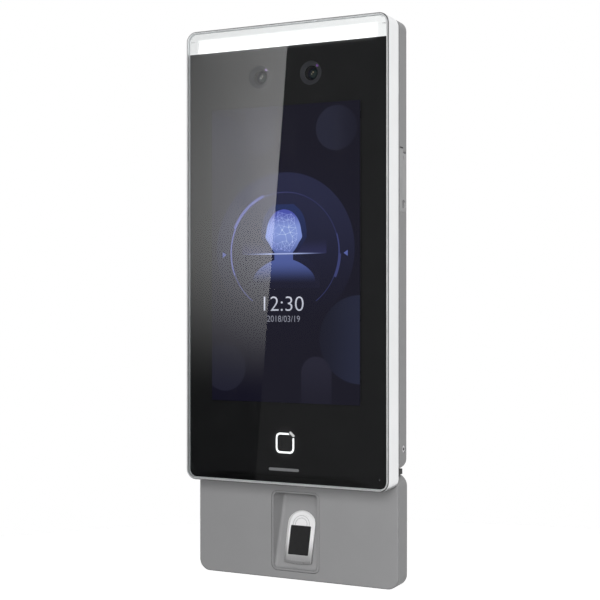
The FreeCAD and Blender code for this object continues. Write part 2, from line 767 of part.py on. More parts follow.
# wiring well
casing.add(
    "front", d.bracket_recess, d.well_roof + d.well_wall,
    rect(-well_outer, well_outer, d.well_bottom - d.well_wall, d.well_top + d.well_wall, 3.0),
)
casing.cut(
    "front", d.case_back, d.well_roof,
    rect(-d.well_half, d.well_half, d.well_bottom, d.well_top, 2.0),
)
casing.cut(
    "top", d.well_top - 0.5, d.well_top + d.well_wall,
    rect(socket_left + 1.6, socket_right - 1.6, -14.6, -4.9),
    rect(header_middle - header_width / 2 + 0.8, header_middle + header_width / 2 - 0.8, -10.9, -4.7),
)
# screw towers, and domes over the heads of the wall screws
casing.add("front", d.case_floor - 1, 4.6, *discs(wall_screw_points, d.wall_screw_room + 1.2))
casing.add("front", d.case_floor - 1, 15.8, *discs(case_screw_points, 2.9))
casing.add("top", d.case_bottom + 1, d.case_bottom + 8, *discs(neck_screw_points, 2.9))
# port bay
casing.add(
    "side", d.bay_floor - d.bay_floor_wall, case_half - 0.5,
    rect(-d.case_front, -1.5, d.bay_bottom - 1.5, d.bay_top + 1.5),
)
casing.cut("side", d.bay_floor, case_half, rect(-d.bay_front, -d.bay_back, d.bay_bottom, d.bay_top))
# fixed knuckle, round about the hinge pin so that the cover can swing past it
knuckle_back = d.bay_back - 0.4
casing.add("front", knuckle_back, d.knuckle_front, disc(d.hinge_across, d.hinge_up, d.hinge_radius))
casing.add(
    "front", knuckle_back, d.knuckle_front,
    rect(d.bay_floor - 0.5, d.hinge_across, d.hinge_up - d.hinge_radius, d.bay_top + 0.5),
)
casing.add(
    "front", knuckle_back, d.knuckle_front,
    rect(d.hinge_across - 0.5, d.hinge_across + d.hinge_radius, d.hinge_up, d.bay_top + 0.5),
)
casing.cut("front", 1.0, d.bay_front + 0.5, disc(d.hinge_across, d.hinge_up, d.hinge_pin_radius))
casing.cut(
    "side", d.bay_floor - d.bay_floor_wall, d.bay_floor,
    rect(-11.9, -5.3, 23.6, 37.4),
    disc(-d.button_depth, d.button_up, d.button_radius + d.running_gap),
)
# recess for the wall bracket, slots for its hooks and side tabs
casing.cut("front", d.case_back, d.bracket_recess, rect(-53, 53, -107.5, 74.5, 3.0))
casing.cut(
    "front", d.case_back, d.bracket_recess,
    rect(-56, 56, d.side_screw_up - 4, d.side_screw_up + 4, 1.0),
)
for side in (-1, 1):
    tab_middle = side * (d.tab_outer - d.bracket_thick / 2)
    casing.cut(
        "front", d.bracket_recess, d.case_floor,
        block(d.bracket_thick + 0.5, size(6.6), tab_middle, d.side_screw_up, 0.4),
        block(size(9), size(6.6), side * d.hook_across, 56.8, 0.5),
    )
casing.cut("front", d.case_back, 3.4, *discs(wall_screw_points, d.wall_screw_room))
casing.cut("front", d.case_back, 5.0, *discs(case_screw_points, d.case_screw_head + 0.15))
casing.cut("front", 4.9, 15.8, *discs(case_screw_points, d.case_screw_radius + 0.15))
casing.cut(
    "front", d.case_back, d.case_floor,
    disc(d.plunger_across, d.plunger_up, d.plunger_radius + d.running_gap),
)
# bottom wall: ribbon passage and module screws
casing.cut("top", d.case_bottom, d.case_bottom + 7, *discs(neck_screw_points, 1.5))
casing.cut("top", d.case_bottom, d.case_bottom + d.case_wall, ribbon_slot)
# side security screws
for side in (-1, 1):
    low = (side * case_half if side < 0 else case_half - d.case_wall)
    casing.cut("side", low, low + d.case_wall, disc(-d.side_screw_depth, d.side_screw_up, 1.4))
    rim = (-case_half if side < 0 else case_half - 1.0)
    casing.cut(
        "side", rim, rim + 1.0, disc(-d.side_screw_depth, d.side_screw_up, d.side_screw_head + 0.15)
    )
# loudspeaker slots in the left side
slot_count = 8
slot_pitch = 3.2
slots = []
for i in range(slot_count):
    up = -63.0 + (i - (slot_count - 1) / 2) * slot_pitch
    slots.append(rect(-10.4, -5.6, up - 0.7, up + 0.7, 0.65))
casing.cut("side", -case_half, -case_inner + 0.2, *slots)



def round_tongue(gap):
    """Outline that runs round the casing's tongue at a distance."""
    return rect(
        -d.tongue_half - gap, d.tongue_half + gap, tongue_low - gap, tongue_high + gap, tongue_corner + gap
    )


seal = plate("casing_seal", d.case_front, d.frame_back, round_tongue(0.9))
seal.cut("front", d.case_front, d.frame_back, round_tongue(0.05))

case_screws = plate("casing_screws", 3.0, 5.0, *discs(case_screw_points, d.case_screw_head))
case_screws.add("front", 5.0, 19.0, *discs(case_screw_points, d.case_screw_radius))
case_screws.cut("front", 3.0, 4.2, *discs(case_screw_points, 1.15))

# ---------------------------------------------------------------- service port
usb_socket = plate("usb_socket", 5.3, d.board_back, rect(41.0, d.bay_floor, 23.7, 37.3))
usb_socket.cut("side", 44.5, d.bay_floor, rect(-11.3, -5.9, 24.3, 36.7))
usb_socket.add("side", 44.5, d.bay_floor - 0.8, rect(-9.5, -7.7, 25.2, 35.8))

Piece("reset_switch").add("side", 48.4, 52.0, block(size(4.6), size(4.6), -9.55, d.button_up))
button = Piece("reset_button")
button.add("side", 53.4, 55.8, disc(-d.button_depth, d.button_up, d.button_radius))
button.round(0.3, button.edges("side", 55.8))
button.add("side", 52.6, 53.4, disc(-d.button_depth, d.button_up, d.button_radius + 0.7))

cover_outer = case_half
cover_inner = case_half - d.cover_thick
cover_low = d.bay_bottom + d.cover_gap
cover_back = d.bay_back + d.cover_gap
cover_front = d.bay_front - d.cover_gap
barrel_back = d.knuckle_front + d.cover_gap
notch_up = d.hinge_up - d.hinge_radius - 0.3
port_cover = Piece("port_cover")
port_cover.add("side", cover_inner, cover_outer, rect(-cover_front, -cover_back, cover_low, notch_up))
port_cover.add(
    "side", cover_inner, cover_outer, rect(-cover_front, -barrel_back, notch_up - 0.5, d.hinge_up)
)
port_cover.add("front", barrel_back, cover_front, disc(d.hinge_across, d.hinge_up, d.hinge_radius))
port_cover.cut(
    "front", barrel_back, cover_front, disc(d.hinge_across, d.hinge_up, d.hinge_pin_radius + d.running_gap)
)
# finger scoop near the free end, and a small arrow that points at the hinge
port_cover.cut("side", cover_outer - 0.9, cover_outer, rect(-8.2, -3.4, 23.2, 27.4, 1.9))
port_cover.cut("side", cover_outer - 0.2, cover_outer, polygon((-8.0, 47.6), (-6.2, 50.4), (-4.4, 47.6)))
plate("port_hinge_pin", 1.0, d.bay_front + 0.5, disc(d.hinge_across, d.hinge_up, d.hinge_pin_radius))

# ---------------------------------------------------------------- tamper switch
plunger = plate(
    "tamper_plunger", d.bracket_thick + 0.05, 7.8, disc(d.plunger_across, d.plunger_up, d.plunger_radius)
)
plunger.add("front", 3.4, 4.2, disc(d.plunger_across, d.plunger_up, d.plunger_radius + 0.9))
plate("tamper_switch", 8.95, d.board_back, block(size(6), size(6), d.plunger_across, d.plunger_up, 0.4))

# ---------------------------------------------------------------- wall bracket
bracket = plate(
    "wall_bracket", size(0), d.bracket_thick,
    rect(-d.bracket_half, d.bracket_half, d.bracket_bottom, d.bracket_top, 4.0),
)
bracket.add(
    "front", size(0), d.bracket_thick,
    rect(-d.tab_outer, d.tab_outer, d.side_screw_up - 3, d.side_screw_up + 3),
)
bracket.cut(
    "front", size(0), d.bracket_thick,
    block(2 * d.well_half - 4, size(34), up=(d.well_top + d.well_bottom) / 2, corner=3.0),
    *discs(wall_screw_points, d.wall_screw_hole),
)
for side in (-1, 1):
    tab_low = (-d.tab_outer if side < 0 else d.tab_outer - d.bracket_thick)
    tab_high = tab_low + d.bracket_thick
    bracket.add("side", tab_low, tab_high, rect(-8.3, 0, d.side_screw_up - 3, d.side_screw_up + 3))
    bracket.cut(
        "side", tab_low, tab_high, disc(-d.side_screw_depth, d.side_screw_up, d.side_screw_radius)
    )
    bracket.add("front", size(0), 4.6, block(size(8), size(1.2), side * d.hook_across, 59.3))
    bracket.add("front", 3.4, 4.6, block(size(8), size(4.8), side * d.hook_across, 61.1))

security = Piece("security_screws")
for side in (-1, 1):
    shank_low = (-57.5 if side < 0 else 53.8)
    head_low = (-58.3 if side < 0 else 57.5)
    recess_low = (-58.3 if side < 0 else 57.8)
    spot = (-d.side_screw_depth, d.side_screw_up)
    security.add("side", shank_low, shank_low + 3.7, disc(*spot, d.side_screw_radius))
    security.add("side", head_low, head_low + 0.8, disc(*spot, d.side_screw_head))
    security.cut("side", recess_low, recess_low + 0.5, disc(*spot, 0.9))

# ---------------------------------------------------------------- neck and module ribbon
neck_low = d.module_top
neck_high = d.case_bottom
neck = Piece("neck_bridge")
neck.add("top", neck_low, neck_high, rect(-56.4, 56.4, -10.2, -1.0, 1.5))
neck.cut("top", neck_low, neck_high, ribbon_slot, *discs(neck_screw_points, 1.6))

neck_screws = Piece("neck_screws")
module_roof = d.module_top - d.module_wall
neck_screws.add("top", module_roof - 1.8, module_roof, *discs(neck_screw_points, 2.3))
neck_screws.add("top", module_roof, d.case_bottom + 6.5, *discs(neck_screw_points, 1.25))
neck_screws.cut("top", module_roof - 1.8, module_roof - 0.8, *discs(neck_screw_points, 1.1))

ribbon = Piece("module_ribbon")
ribbon.add(
    "side", d.ribbon_across - 5, d.ribbon_across + 5,
    polygon(
        (-6.35, -126.0), (-6.65, -126.0), (-6.65, -52.0), (-11.85, -43.5), (-11.85, -36.0),
        (-11.55, -36.0), (-11.55, -43.4), (-6.35, -51.9),
    ),
)

# ---------------------------------------------------------------- fingerprint module housing
module_half = d.module_width / 2
module_inner = module_half - d.module_wall
module_ceiling = d.module_front_face - d.module_wall
module_screw_points = mirrored((50.5, -121.5), (50.5, -164.0))
cradle_gap = 0.12

module_front = plate(
    "module_front", d.module_joint, d.module_front_face,
    rect(-module_half, module_half, d.module_bottom, d.module_top, d.module_corner),
)
module_front.round(d.module_edge_round, module_front.edges("front", d.module_front_face))
module_front.cut(
    "front", d.module_joint, module_ceiling,
    rect(
        -module_inner, module_inner,
        d.module_bottom + d.module_wall, d.module_top - d.module_wall, d.module_corner - d.module_wall,
    ),
)
module_front.cut(
    "front", module_ceiling, d.module_front_face,
    block(
        d.cradle_width + 2 * cradle_gap, d.cradle_height + 2 * cradle_gap,
        up=d.cradle_middle, corner=d.cradle_corner + cradle_gap,
    ),
)
module_front.add("front", 3.6, module_ceiling + 0.5, *discs(module_screw_points, 3.2))
module_front.cut("front", 3.6, 10.0, *discs(module_screw_points, 1.0))
module_front.cut("top", module_roof, d.module_top, ribbon_slot, *discs(neck_screw_points, 1.5))

module_back = plate(
    "module_back", d.case_back, d.module_joint,
    rect(-module_half, module_half, d.module_bottom, d.module_top, d.module_corner),
)
module_back.round(0.8, module_back.edges("front", d.case_back))
rib_half = module_inner - 1.5
module_back.add(
    "front", d.module_joint, 3.4,
    rect(-rib_half, rib_half, d.module_bottom + 3.5, d.module_top - 3.5, 3.0),
    rect(-rib_half + 0.7, rib_half - 0.7, d.module_bottom + 4.2, d.module_top - 4.2, 2.3),
)
module_back.add("front", d.module_joint, 3.5, *discs(module_screw_points, 3.2))
module_back.add("front", d.module_joint, 6.2, *discs([(24, -156), (46, -146)], 2.0))
module_back.cut("front", d.case_back, 1.9, *discs(module_screw_points, 2.2))
module_back.cut("front", d.case_back, 3.5, *discs(module_screw_points, 1.15))

plate(
    "module_gasket", d.module_joint, 2.5,
    rect(
        -module_inner + 0.1, module_inner - 0.1,
        d.module_bottom + d.module_wall + 0.1, d.module_top - d.module_wall - 0.1, 4.2,
    ),
    rect(-rib_half - 0.1, rib_half + 0.1, d.module_bottom + 3.4, d.module_top - 3.4, 3.1),
)

module_screws = plate("module_screws", 0.6, 1.9, *discs(module_screw_points, 2.0))
module_screws.add("front", 1.9, 9.0, *discs(module_screw_points, 1.0))
module_screws.cut("front", 0.6, 1.3, *discs(module_screw_points, 0.9))

plate("module_board", 6.25, 7.45, rect(18, 50, -158.5, -126.6, 1.0))

# ---------------------------------------------------------------- finger cradle
recess_top = d.cradle_middle + d.cradle_height / 2 - d.cradle_rim
recess_bottom = d.cradle_middle - d.cradle_height / 2 + d.cradle_rim
floor_drop = (d.recess_floor_bottom - d.recess_floor_top) / (recess_top - recess_bottom)


def floor_level(up):
    """Depth of the sloping recess floor at a height, from the wall."""
    return d.recess_floor_top + (recess_top - up) * floor_drop


cradle_back = d.module_joint
cradle_half = d.cradle_width / 2
cradle = plate(
    "finger_cradle", cradle_back, d.module_front_face,
    block(d.cradle_width, d.cradle_height, up=d.cradle_middle, corner=d.cradle_corner),
)
cradle.round(0.3, cradle.edges("front", d.module_front_face))
cradle.add(
    "front", module_ceiling - 1.1, module_ceiling - 0.1,
    block(d.cradle_width + 3, d.cradle_height + 3, up=d.cradle_middle, corner=d.cradle_corner + 1.5),
)
cradle.cut(
    "front", d.recess_floor_top, d.module_front_face,
    rect(-cradle_half + d.cradle_rim, cradle_half - d.cradle_rim, recess_bottom, recess_top, 2.4),
    taper=d.cradle_draft,
)
cradle.add(
    "side", -cradle_half + 1.2, cradle_half - 1.2,
    polygon(
        (-cradle_back, recess_top - 1),
        (-floor_level(recess_top - 1), recess_top - 1),
        (-floor_level(recess_bottom - 0.5), recess_bottom - 0.5),
        (-cradle_back, recess_bottom - 0.5),
    ),
)
doc.recompute()


def slopes(edge):
    """True for the edges where the sloping floor meets the recess walls."""
    points = [edge.valueAt(edge.FirstParameter), edge.valueAt(edge.LastParameter)]
    on_floor = all(abs(-p.y - floor_level(p.z).value) < 1e-3 for p in points)
    return on_floor and min(p.z for p in points) > recess_bottom.value


cradle_edges = cradle.body.Tip.Shape.Edges
sloping = [f"Edge{i}" for i, edge in enumerate(cradle_edges, start=1) if slopes(edge)]
cradle.round(d.recess_round, sloping)

hollow_low = recess_bottom + 0.8
hollow_high = recess_top - 3.4
cradle.cut(
    "side", size(-11), size(11),
    polygon(
        (-cradle_back, hollow_high),
        (-floor_level(hollow_high) + 1.2, hollow_high),
        (-floor_level(hollow_low) + 1.2, hollow_low),
        (-cradle_back, hollow_low),
    ),
)
cradle.cut("front", cradle_back, 7.0, rect(10.5, 16, -156, -148))
window_rise = d.sensor_height * 0.966 / 2 + 0.45
cradle.cut(
    "front", cradle_back, 12.4,
    rect(
        d.sensor_across - 6.3, d.sensor_across + 6.3,
        d.sensor_up - window_rise - 0.4, d.sensor_up + window_rise,
    ),
)

# ---------------------------------------------------------------- tilted fingerprint sensor
# local axes: X across, Y up the slope, Z out of the sensor's face


def tilted(label):
    return Piece(
        label, across=d.sensor_across, depth=d.sensor_depth, up=d.sensor_up, turn=90 - d.sensor_tilt
    )


bezel = tilted("sensor_bezel")
bezel.add("top", size(-2), size(0), thumb(d.bezel_half, d.bezel_dome, d.bezel_foot, size(0.8)))
bezel.bevel(0.35, 1.3, bezel.edges("top", 0))
tilt = math.radians(d.sensor_tilt.value)


def floor_below_bezel(slope_up):
    """Local height of the recess floor under a point of the bezel's middle line."""
    up = d.sensor_up.value + slope_up * math.cos(tilt)
    gap = d.sensor_depth.value - slope_up * math.sin(tilt) - floor_level(up).value
    return 0.02 - gap / (math.cos(tilt) + floor_drop.value * math.sin(tilt))


bezel.cut(
    "side", size(-9), size(9),
    polygon((-14, -3), (18, -3), (18, floor_below_bezel(18)), (-14, floor_below_bezel(-14))),
)
bezel.cut("top", size(-3), size(0), block(d.sensor_width + 0.1, d.sensor_height + 0.1, corner=0.6))
for ring_radius in (3.6, 4.9):
    bezel.cut("top", size(-0.15), size(0.1), disc(0, 8.3, ring_radius), disc(0, 8.3, ring_radius - 0.3))
grip_dots = [(-3.75 + 2.5 * i, -9.3 - 1.3 * j) for i in range(4) for j in range(2)]
bezel.add("top", size(-0.2), size(0.15), *discs(grip_dots, 0.42))

window = tilted("sensor_window")
window.add("top", size(-1.15), size(-0.15), block(d.sensor_width, d.sensor_height, corner=0.55))
sensor_board = tilted("sensor_board")
sensor_board.add("top", size(-2.6), size(-1.6), block(size(12.2), size(15.2)))
plate("sensor_ribbon", 5.85, 6.15, rect(2, 22, -155, -151))

# ---------------------------------------------------------------- checks and export
doc.recompute()
for item in doc.Objects:
    if "Invalid" in item.State or "Error" in item.State:
        raise RuntimeError(f"{item.Label} failed: {item.State}")
for piece in pieces:
    shape = piece.body.Shape
    if shape.isNull() or not shape.isValid() or not shape.Solids:
        raise RuntimeError(f"{piece.label} has no valid solid")
    for before, after in piece.cuts:
        if after.Shape.Volume > before.Shape.Volume - 1e-4:
            raise RuntimeError(f"{after.Label} removed nothing")

os.makedirs("parts", exist_ok=True)
for piece in pieces:
    piece.body.Shape.exportStep(f"parts/{piece.label}.step")
    solids = len(piece.body.Shape.Solids)
    print(f"{piece.label}: {solids} solid(s), {piece.body.Shape.Volume:.1f} mm3")
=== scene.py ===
import json
import math
import random

import bmesh
import bpy
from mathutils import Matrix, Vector


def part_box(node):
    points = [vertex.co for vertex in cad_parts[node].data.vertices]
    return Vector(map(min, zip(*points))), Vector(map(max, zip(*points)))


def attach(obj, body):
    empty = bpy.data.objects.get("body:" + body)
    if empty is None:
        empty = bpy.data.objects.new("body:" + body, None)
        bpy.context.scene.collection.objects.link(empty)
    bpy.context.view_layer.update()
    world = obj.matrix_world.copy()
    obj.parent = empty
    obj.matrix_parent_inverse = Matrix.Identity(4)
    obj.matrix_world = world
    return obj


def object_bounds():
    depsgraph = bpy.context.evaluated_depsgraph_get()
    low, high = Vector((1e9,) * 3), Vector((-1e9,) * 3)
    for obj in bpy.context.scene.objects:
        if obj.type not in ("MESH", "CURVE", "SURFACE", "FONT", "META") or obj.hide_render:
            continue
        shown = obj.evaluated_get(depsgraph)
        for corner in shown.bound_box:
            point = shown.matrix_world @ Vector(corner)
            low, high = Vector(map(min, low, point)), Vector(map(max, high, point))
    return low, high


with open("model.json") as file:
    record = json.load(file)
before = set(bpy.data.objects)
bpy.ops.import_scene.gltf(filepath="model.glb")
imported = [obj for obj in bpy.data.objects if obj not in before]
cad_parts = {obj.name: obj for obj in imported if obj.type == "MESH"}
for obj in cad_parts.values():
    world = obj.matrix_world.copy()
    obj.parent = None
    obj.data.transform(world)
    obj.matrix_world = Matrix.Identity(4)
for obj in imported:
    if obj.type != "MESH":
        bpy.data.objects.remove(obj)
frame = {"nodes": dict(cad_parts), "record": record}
nodes = frame["nodes"]
cad_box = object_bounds()

MM = 0.001

# ------------------------------------------------------------------ camera
CAMERA_TURN = math.radians(26.05)
CAMERA_PLACE = (0.2943, -0.6093, -0.02385)
CAMERA_LENS = 75.49
CAMERA_SENSOR = 36.0

camera_data = bpy.data.cameras.new("camera")
camera_data.lens = CAMERA_LENS
camera_data.sensor_width = CAMERA_SENSOR
camera_data.clip_start = 0.01
camera = bpy.data.objects.new("camera", camera_data)
camera.location = CAMERA_PLACE
camera.rotation_euler = (math.radians(90), 0, CAMERA_TURN)
bpy.context.scene.collection.objects.link(camera)
bpy.context.scene.camera = camera
bpy.context.scene.view_settings.view_transform = "Standard"


# ------------------------------------------------------------------ colour and node helpers
def tone(red, green=None, blue=None):
    """A display colour of 0 to 255 as linear light. One number is a grey."""
    green = red if green is None else green
    blue = red if blue is None else blue

    def linear(level):
        share = level / 255
        return share / 12.92 if share <= 0.04045 else ((share + 0.055) / 1.055) ** 2.4

    return (linear(red), linear(green), linear(blue), 1.0)


def lighter(colour, factor):
    return tuple(min(1.0, c * factor) for c in colour[:3]) + (1.0,)


class Finish:
    """A Principled material and short calls for the nodes that feed it."""

    def __init__(self, name, colour, rough, metallic=0.0, **sockets):
        self.material = bpy.data.materials.new(name)
        self.material.use_nodes = True
        self.tree = self.material.node_tree
        self.shader = self.tree.nodes["Principled BSDF"]
        self.output = self.tree.nodes["Material Output"]
        self.shader.inputs["Base Color"].default_value = colour
        self.shader.inputs["Roughness"].default_value = rough
        self.shader.inputs["Metallic"].default_value = metallic
        for socket, value in sockets.items():
            self.shader.inputs[socket.replace("_", " ")].default_value = value
        self.colour = colour
        self.rough = rough
        self.normal = None
        self.place = self.add("ShaderNodeTexCoord").outputs["Object"]

    def add(self, kind, links=(), **settings):
        node = self.tree.nodes.new(kind)
        for key, value in settings.items():
            setattr(node, key, value)
        for socket, source in links:
            if isinstance(source, bpy.types.NodeSocket):
                self.tree.links.new(source, node.inputs[socket])
            else:
                node.inputs[socket].default_value = source
        return node

    def noise(self, size_mm, detail=3.0, stretch=(1, 1, 1)):
        """Soft noise whose features are about size_mm, longer along an axis whose stretch is above 1."""
        scaled = self.add(
            "ShaderNodeVectorMath", [(0, self.place), (1, [1 / s for s in stretch])], operation="MULTIPLY"
        ).outputs[0]
        links = [("Vector", scaled), ("Scale", 1 / (size_mm * MM)), ("Detail", detail)]
        return self.add("ShaderNodeTexNoise", links).outputs["Fac"]

    def cells(self, size_mm, feature="F1"):
        links = [("Vector", self.place), ("Scale", 1 / (size_mm * MM))]
        return self.add("ShaderNodeTexVoronoi", links, feature=feature).outputs["Distance"]

    def spread(self, value, low, high, to_low, to_high, smooth=False):
        kind = "SMOOTHSTEP" if smooth else "LINEAR"
        links = [
            ("Value", value), ("From Min", low), ("From Max", high), ("To Min", to_low), ("To Max", to_high)
        ]
        return self.add("ShaderNodeMapRange", links, interpolation_type=kind).outputs["Result"]

    def maths(self, operation, first, second):
        return self.add("ShaderNodeMath", [(0, first), (1, second)], operation=operation).outputs[0]

    def mixed(self, share, first, second):
        node = self.add("ShaderNodeMix", data_type="RGBA")
        for socket, source in ((node.inputs[0], share), (node.inputs[6], first), (node.inputs[7], second)):
            if isinstance(source, bpy.types.NodeSocket):
                self.tree.links.new(source, socket)
            else:
                socket.default_value = source
        return node.outputs[2]

    def axis(self, letter):
        return self.add("ShaderNodeSeparateXYZ", [(0, self.place)]).outputs[letter]

    def away(self, point):
        """Distance in metres from a point."""
        return self.add(
            "ShaderNodeVectorMath", [(0, self.place), (1, point)], operation="DISTANCE"
        ).outputs["Value"]

    def feed(self, socket, source):
        self.tree.links.new(source, self.shader.inputs[socket])

    def bump(self, height, depth_mm, strength=1.0):
        links = [("Height", height), ("Distance", depth_mm * MM), ("Strength", strength)]
        if self.normal is not None:
            links.append(("Normal", self.normal))
        self.normal = self.add("ShaderNodeBump", links).outputs["Normal"]
        self.feed("Normal", self.normal)

    def mottle(self, size_mm, amount):
        """Slow light and dark patches in the colour."""
        patches = self.noise(size_mm, 4)
        share = self.spread(patches, 0.3, 0.7, 0, 1)
        dark, light = lighter(self.colour, 1 - amount), lighter(self.colour, 1 + amount)
        self.colour_now = self.mixed(share, dark, light)
        self.feed("Base Color", self.colour_now)
        return self

    def scuffed(self, size_mm, amount):
        """Roughness that wanders by amount."""
        rough = self.spread(self.noise(size_mm, 5), 0.3, 0.7, self.rough - amount, self.rough + amount)
        self.feed("Roughness", rough)
        return self

    def painted_crease_shade(self, reach_mm, share):
        """Painted shade: the colour darkens in gaps, grooves and inner corners, found by ambient occlusion.
        """
        opening = self.add("ShaderNodeAmbientOcclusion", [("Distance", reach_mm * MM)], samples=8)
        shade = self.spread(opening.outputs["AO"], 0.35, 0.95, share, 0)
        self.colour_now = self.mixed(shade, self.colour_now, lighter(self.colour, 0.25))
        self.feed("Base Color", self.colour_now)
        return self

    def worn(self, width_mm, colour, share):
        """Edges rubbed towards another colour."""
        rounded = self.add("ShaderNodeBevel", [("Radius", width_mm * MM)], samples=4).outputs[0]
        flat = self.add("ShaderNodeNewGeometry").outputs["Normal"]
        facing = self.add("ShaderNodeVectorMath", [(0, rounded), (1, flat)], operation="DOT_PRODUCT")
        edge = self.spread(facing.outputs["Value"], 0.995, 0.8, 0, share)
        patchy = self.maths("MULTIPLY", edge, self.spread(self.noise(1.5, 5), 0.4, 0.6, 0.2, 1))
        self.colour_now = self.mixed(patchy, self.colour_now, colour)
        self.feed("Base Color", self.colour_now)
        return self


# ------------------------------------------------------------------ finishes
def painted(name, colour, rough):
    """Fine textured powder paint: a tight orange peel, speckle, slightly rubbed edges and painted crease
    shade.
    """
    f = Finish(name, colour, rough, Specular_IOR_Level=0.4)
    f.mottle(9, 0.012).scuffed(3, 0.03)
    f.worn(0.35, lighter(colour, 1.4), 0.45).painted_crease_shade(0.8, 0.8)
    f.bump(f.noise(0.42, 2), 0.05, 0.5)
    f.bump(f.cells(0.9), 0.02, 0.4)
    return f.material


def moulded(name, colour, rough, grain_mm=0.3, depth_mm=0.02):
    """Moulded plastic with a spark-eroded grain and slight handling marks."""
    f = Finish(name, colour, rough)
    f.mottle(6, 0.08).scuffed(2.5, 0.07)
    f.worn(0.2, lighter(colour, 1.5), 0.25)
    f.bump(f.noise(grain_mm, 3), depth_mm, 0.5)
    return f.material


def metal(name, colour, rough, stretch=(1, 1, 1), grain_mm=0.12, depth_mm=0.004, share=0.12):
    """Bare or anodised metal with a directional grain, faint stains and brighter rubbed edges."""
    f = Finish(name, colour, rough, 1.0)
    f.mottle(14, 0.04).scuffed(1.2, 0.05)
    f.worn(0.25, lighter(colour, 1.25), share)
    f.bump(f.noise(grain_mm, 2, stretch), depth_mm, 0.25)
    return f.material


def silver_frame():
    """Satin silver coat on the frame, with a bright turned band along the corner between front and sides."""
    f = Finish("frame_metal", tone(240, 241, 242), 0.34, 0.62)
    f.mottle(16, 0.02)
    grain = f.noise(0.35, 3, (1, 1, 14))
    turned = f.add("ShaderNodeNewGeometry").outputs["Normal"]
    forward = f.maths("ABSOLUTE", f.add("ShaderNodeSeparateXYZ", [(0, turned)]).outputs["Y"], 0.0)
    outer = f.spread(forward, CHAMFER_SIDE - 0.04, CHAMFER_SIDE + 0.04, 0, 1)
    inner = f.spread(forward, CHAMFER_FRONT + 0.04, CHAMFER_FRONT - 0.04, 0, 1)
    bright = f.maths("MULTIPLY", outer, inner)
    f.feed("Base Color", f.mixed(bright, f.colour_now, tone(198, 199, 201)))
    f.feed("Metallic", f.spread(bright, 0, 1, 0.62, 1.0))
    f.feed("Roughness", f.spread(bright, 0, 1, f.spread(grain, 0.3, 0.7, 0.30, 0.38), 0.12))
    f.bump(grain, 0.0012, 0.3)
    return f.material


def satin_bezel():
    """Satin silver coat on the thumb-shaped bezel, with painted shade towards its low end and in its
    grooves.
    """
    f = Finish("bezel", tone(236, 236, 237), 0.3, 0.3)
    f.mottle(9, 0.02).scuffed(3, 0.03).painted_crease_shade(0.7, 1.0)
    # painted shade: the colour falls to a darker copy towards the bezel's low end
    low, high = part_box("sensor_bezel")
    shade = f.spread(f.axis("Z"), low.z + 2 * MM, (low.z + high.z) / 2 + 1 * MM, 0, 1, True)
    f.feed("Base Color", f.mixed(shade, lighter(f.colour, 0.36), f.colour_now))
    return f.material


def soft(name, colour, rough):
    """Rubber or foam: matt, with a powdery bloom and a fine skin."""
    f = Finish(name, colour, rough, Specular_IOR_Level=0.3)
    f.mottle(2.5, 0.18)
    f.bump(f.noise(0.25, 4), 0.03, 0.6)
    f.bump(f.cells(0.5), 0.02, 0.3)
    return f.material


def board(name, colour, track):
    """A circuit board: solder mask over copper tracks, which stand a little proud, and bare pads."""
    f = Finish(name, colour, 0.32, Coat_Weight=0.3)
    f.mottle(7, 0.1)
    links = [
        ("Vector", f.place), ("Scale", 1.0), ("Brick Width", 3.1 * MM),
        ("Row Height", 0.9 * MM), ("Mortar Size", 0.13 * MM),
    ]
    tracks = f.add("ShaderNodeTexBrick", links, offset=0.37, squash=1.6).outputs["Fac"]
    pads = f.spread(f.cells(2.3), 0.10, 0.12, 1, 0)
    copper = f.mixed(tracks, f.colour_now, track)
    f.feed("Base Color", f.mixed(pads, copper, (0.62, 0.55, 0.36, 1)))
    f.feed("Metallic", pads)
    f.bump(tracks, 0.02, 0.5)
    return f.material


def glowing(name, colour, light, base=(0.02, 0.02, 0.02, 1), rough=0.5, strength=1.0):
    """A surface that gives off light, whose colour is set by nodes or by one colour."""
    f = Finish(name, base, rough)
    f.shader.inputs["Emission Strength"].default_value = strength
    if light is None:
        f.shader.inputs["Emission Color"].default_value = colour
    else:
        f.feed("Emission Color", light(f))
    return f


def front_glass():
    """Clear glass over the print: sharp reflections by Fresnel on its outside, weaker over the
    cameras, where it has a coating, and a few faint smears."""
    f = Finish("cover_glass", (0.02, 0.02, 0.022, 1), 0.01)
    outside = f.maths("SUBTRACT", 1.0, f.add("ShaderNodeNewGeometry").outputs["Backfacing"])
    fresnel = f.add("ShaderNodeFresnel", [("IOR", GLASS_INDEX)]).outputs[0]
    windows = []
    for side in ("colour", "infrared"):
        low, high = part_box(side + "_camera_barrel")
        middle = ((low.x + high.x) / 2, -GLASS_FACE, (low.z + high.z) / 2)
        windows.append(f.spread(f.away(middle), 5.4 * MM, 6.4 * MM, 0.66, 1.0, True))
    coated_share = f.maths("MULTIPLY", windows[0], windows[1])
    mirror = f.maths("MULTIPLY", f.maths("MULTIPLY", fresnel, outside), coated_share)
    clear = f.add("ShaderNodeBsdfTransparent", [("Color", (0.96, 0.97, 0.97, 1))])
    sharp = f.add("ShaderNodeBsdfGlossy", [("Roughness", 0.012), ("Color", (1, 1, 1, 1))])
    smear = f.add("ShaderNodeBsdfGlossy", [("Roughness", 0.32), ("Color", (1, 1, 1, 1))])
    patches = f.spread(f.noise(18, 5, (1, 1, 2.2)), 0.56, 0.72, 0, 0.16)
    skin = f.add("ShaderNodeMixShader", [(0, patches), (1, sharp.outputs[0]), (2, smear.outputs[0])])
    both = f.add("ShaderNodeMixShader", [(0, mirror), (1, clear.outputs[0]), (2, skin.outputs[0])])
    f.tree.links.new(both.outputs[0], f.output.inputs["Surface"])
    return f.material


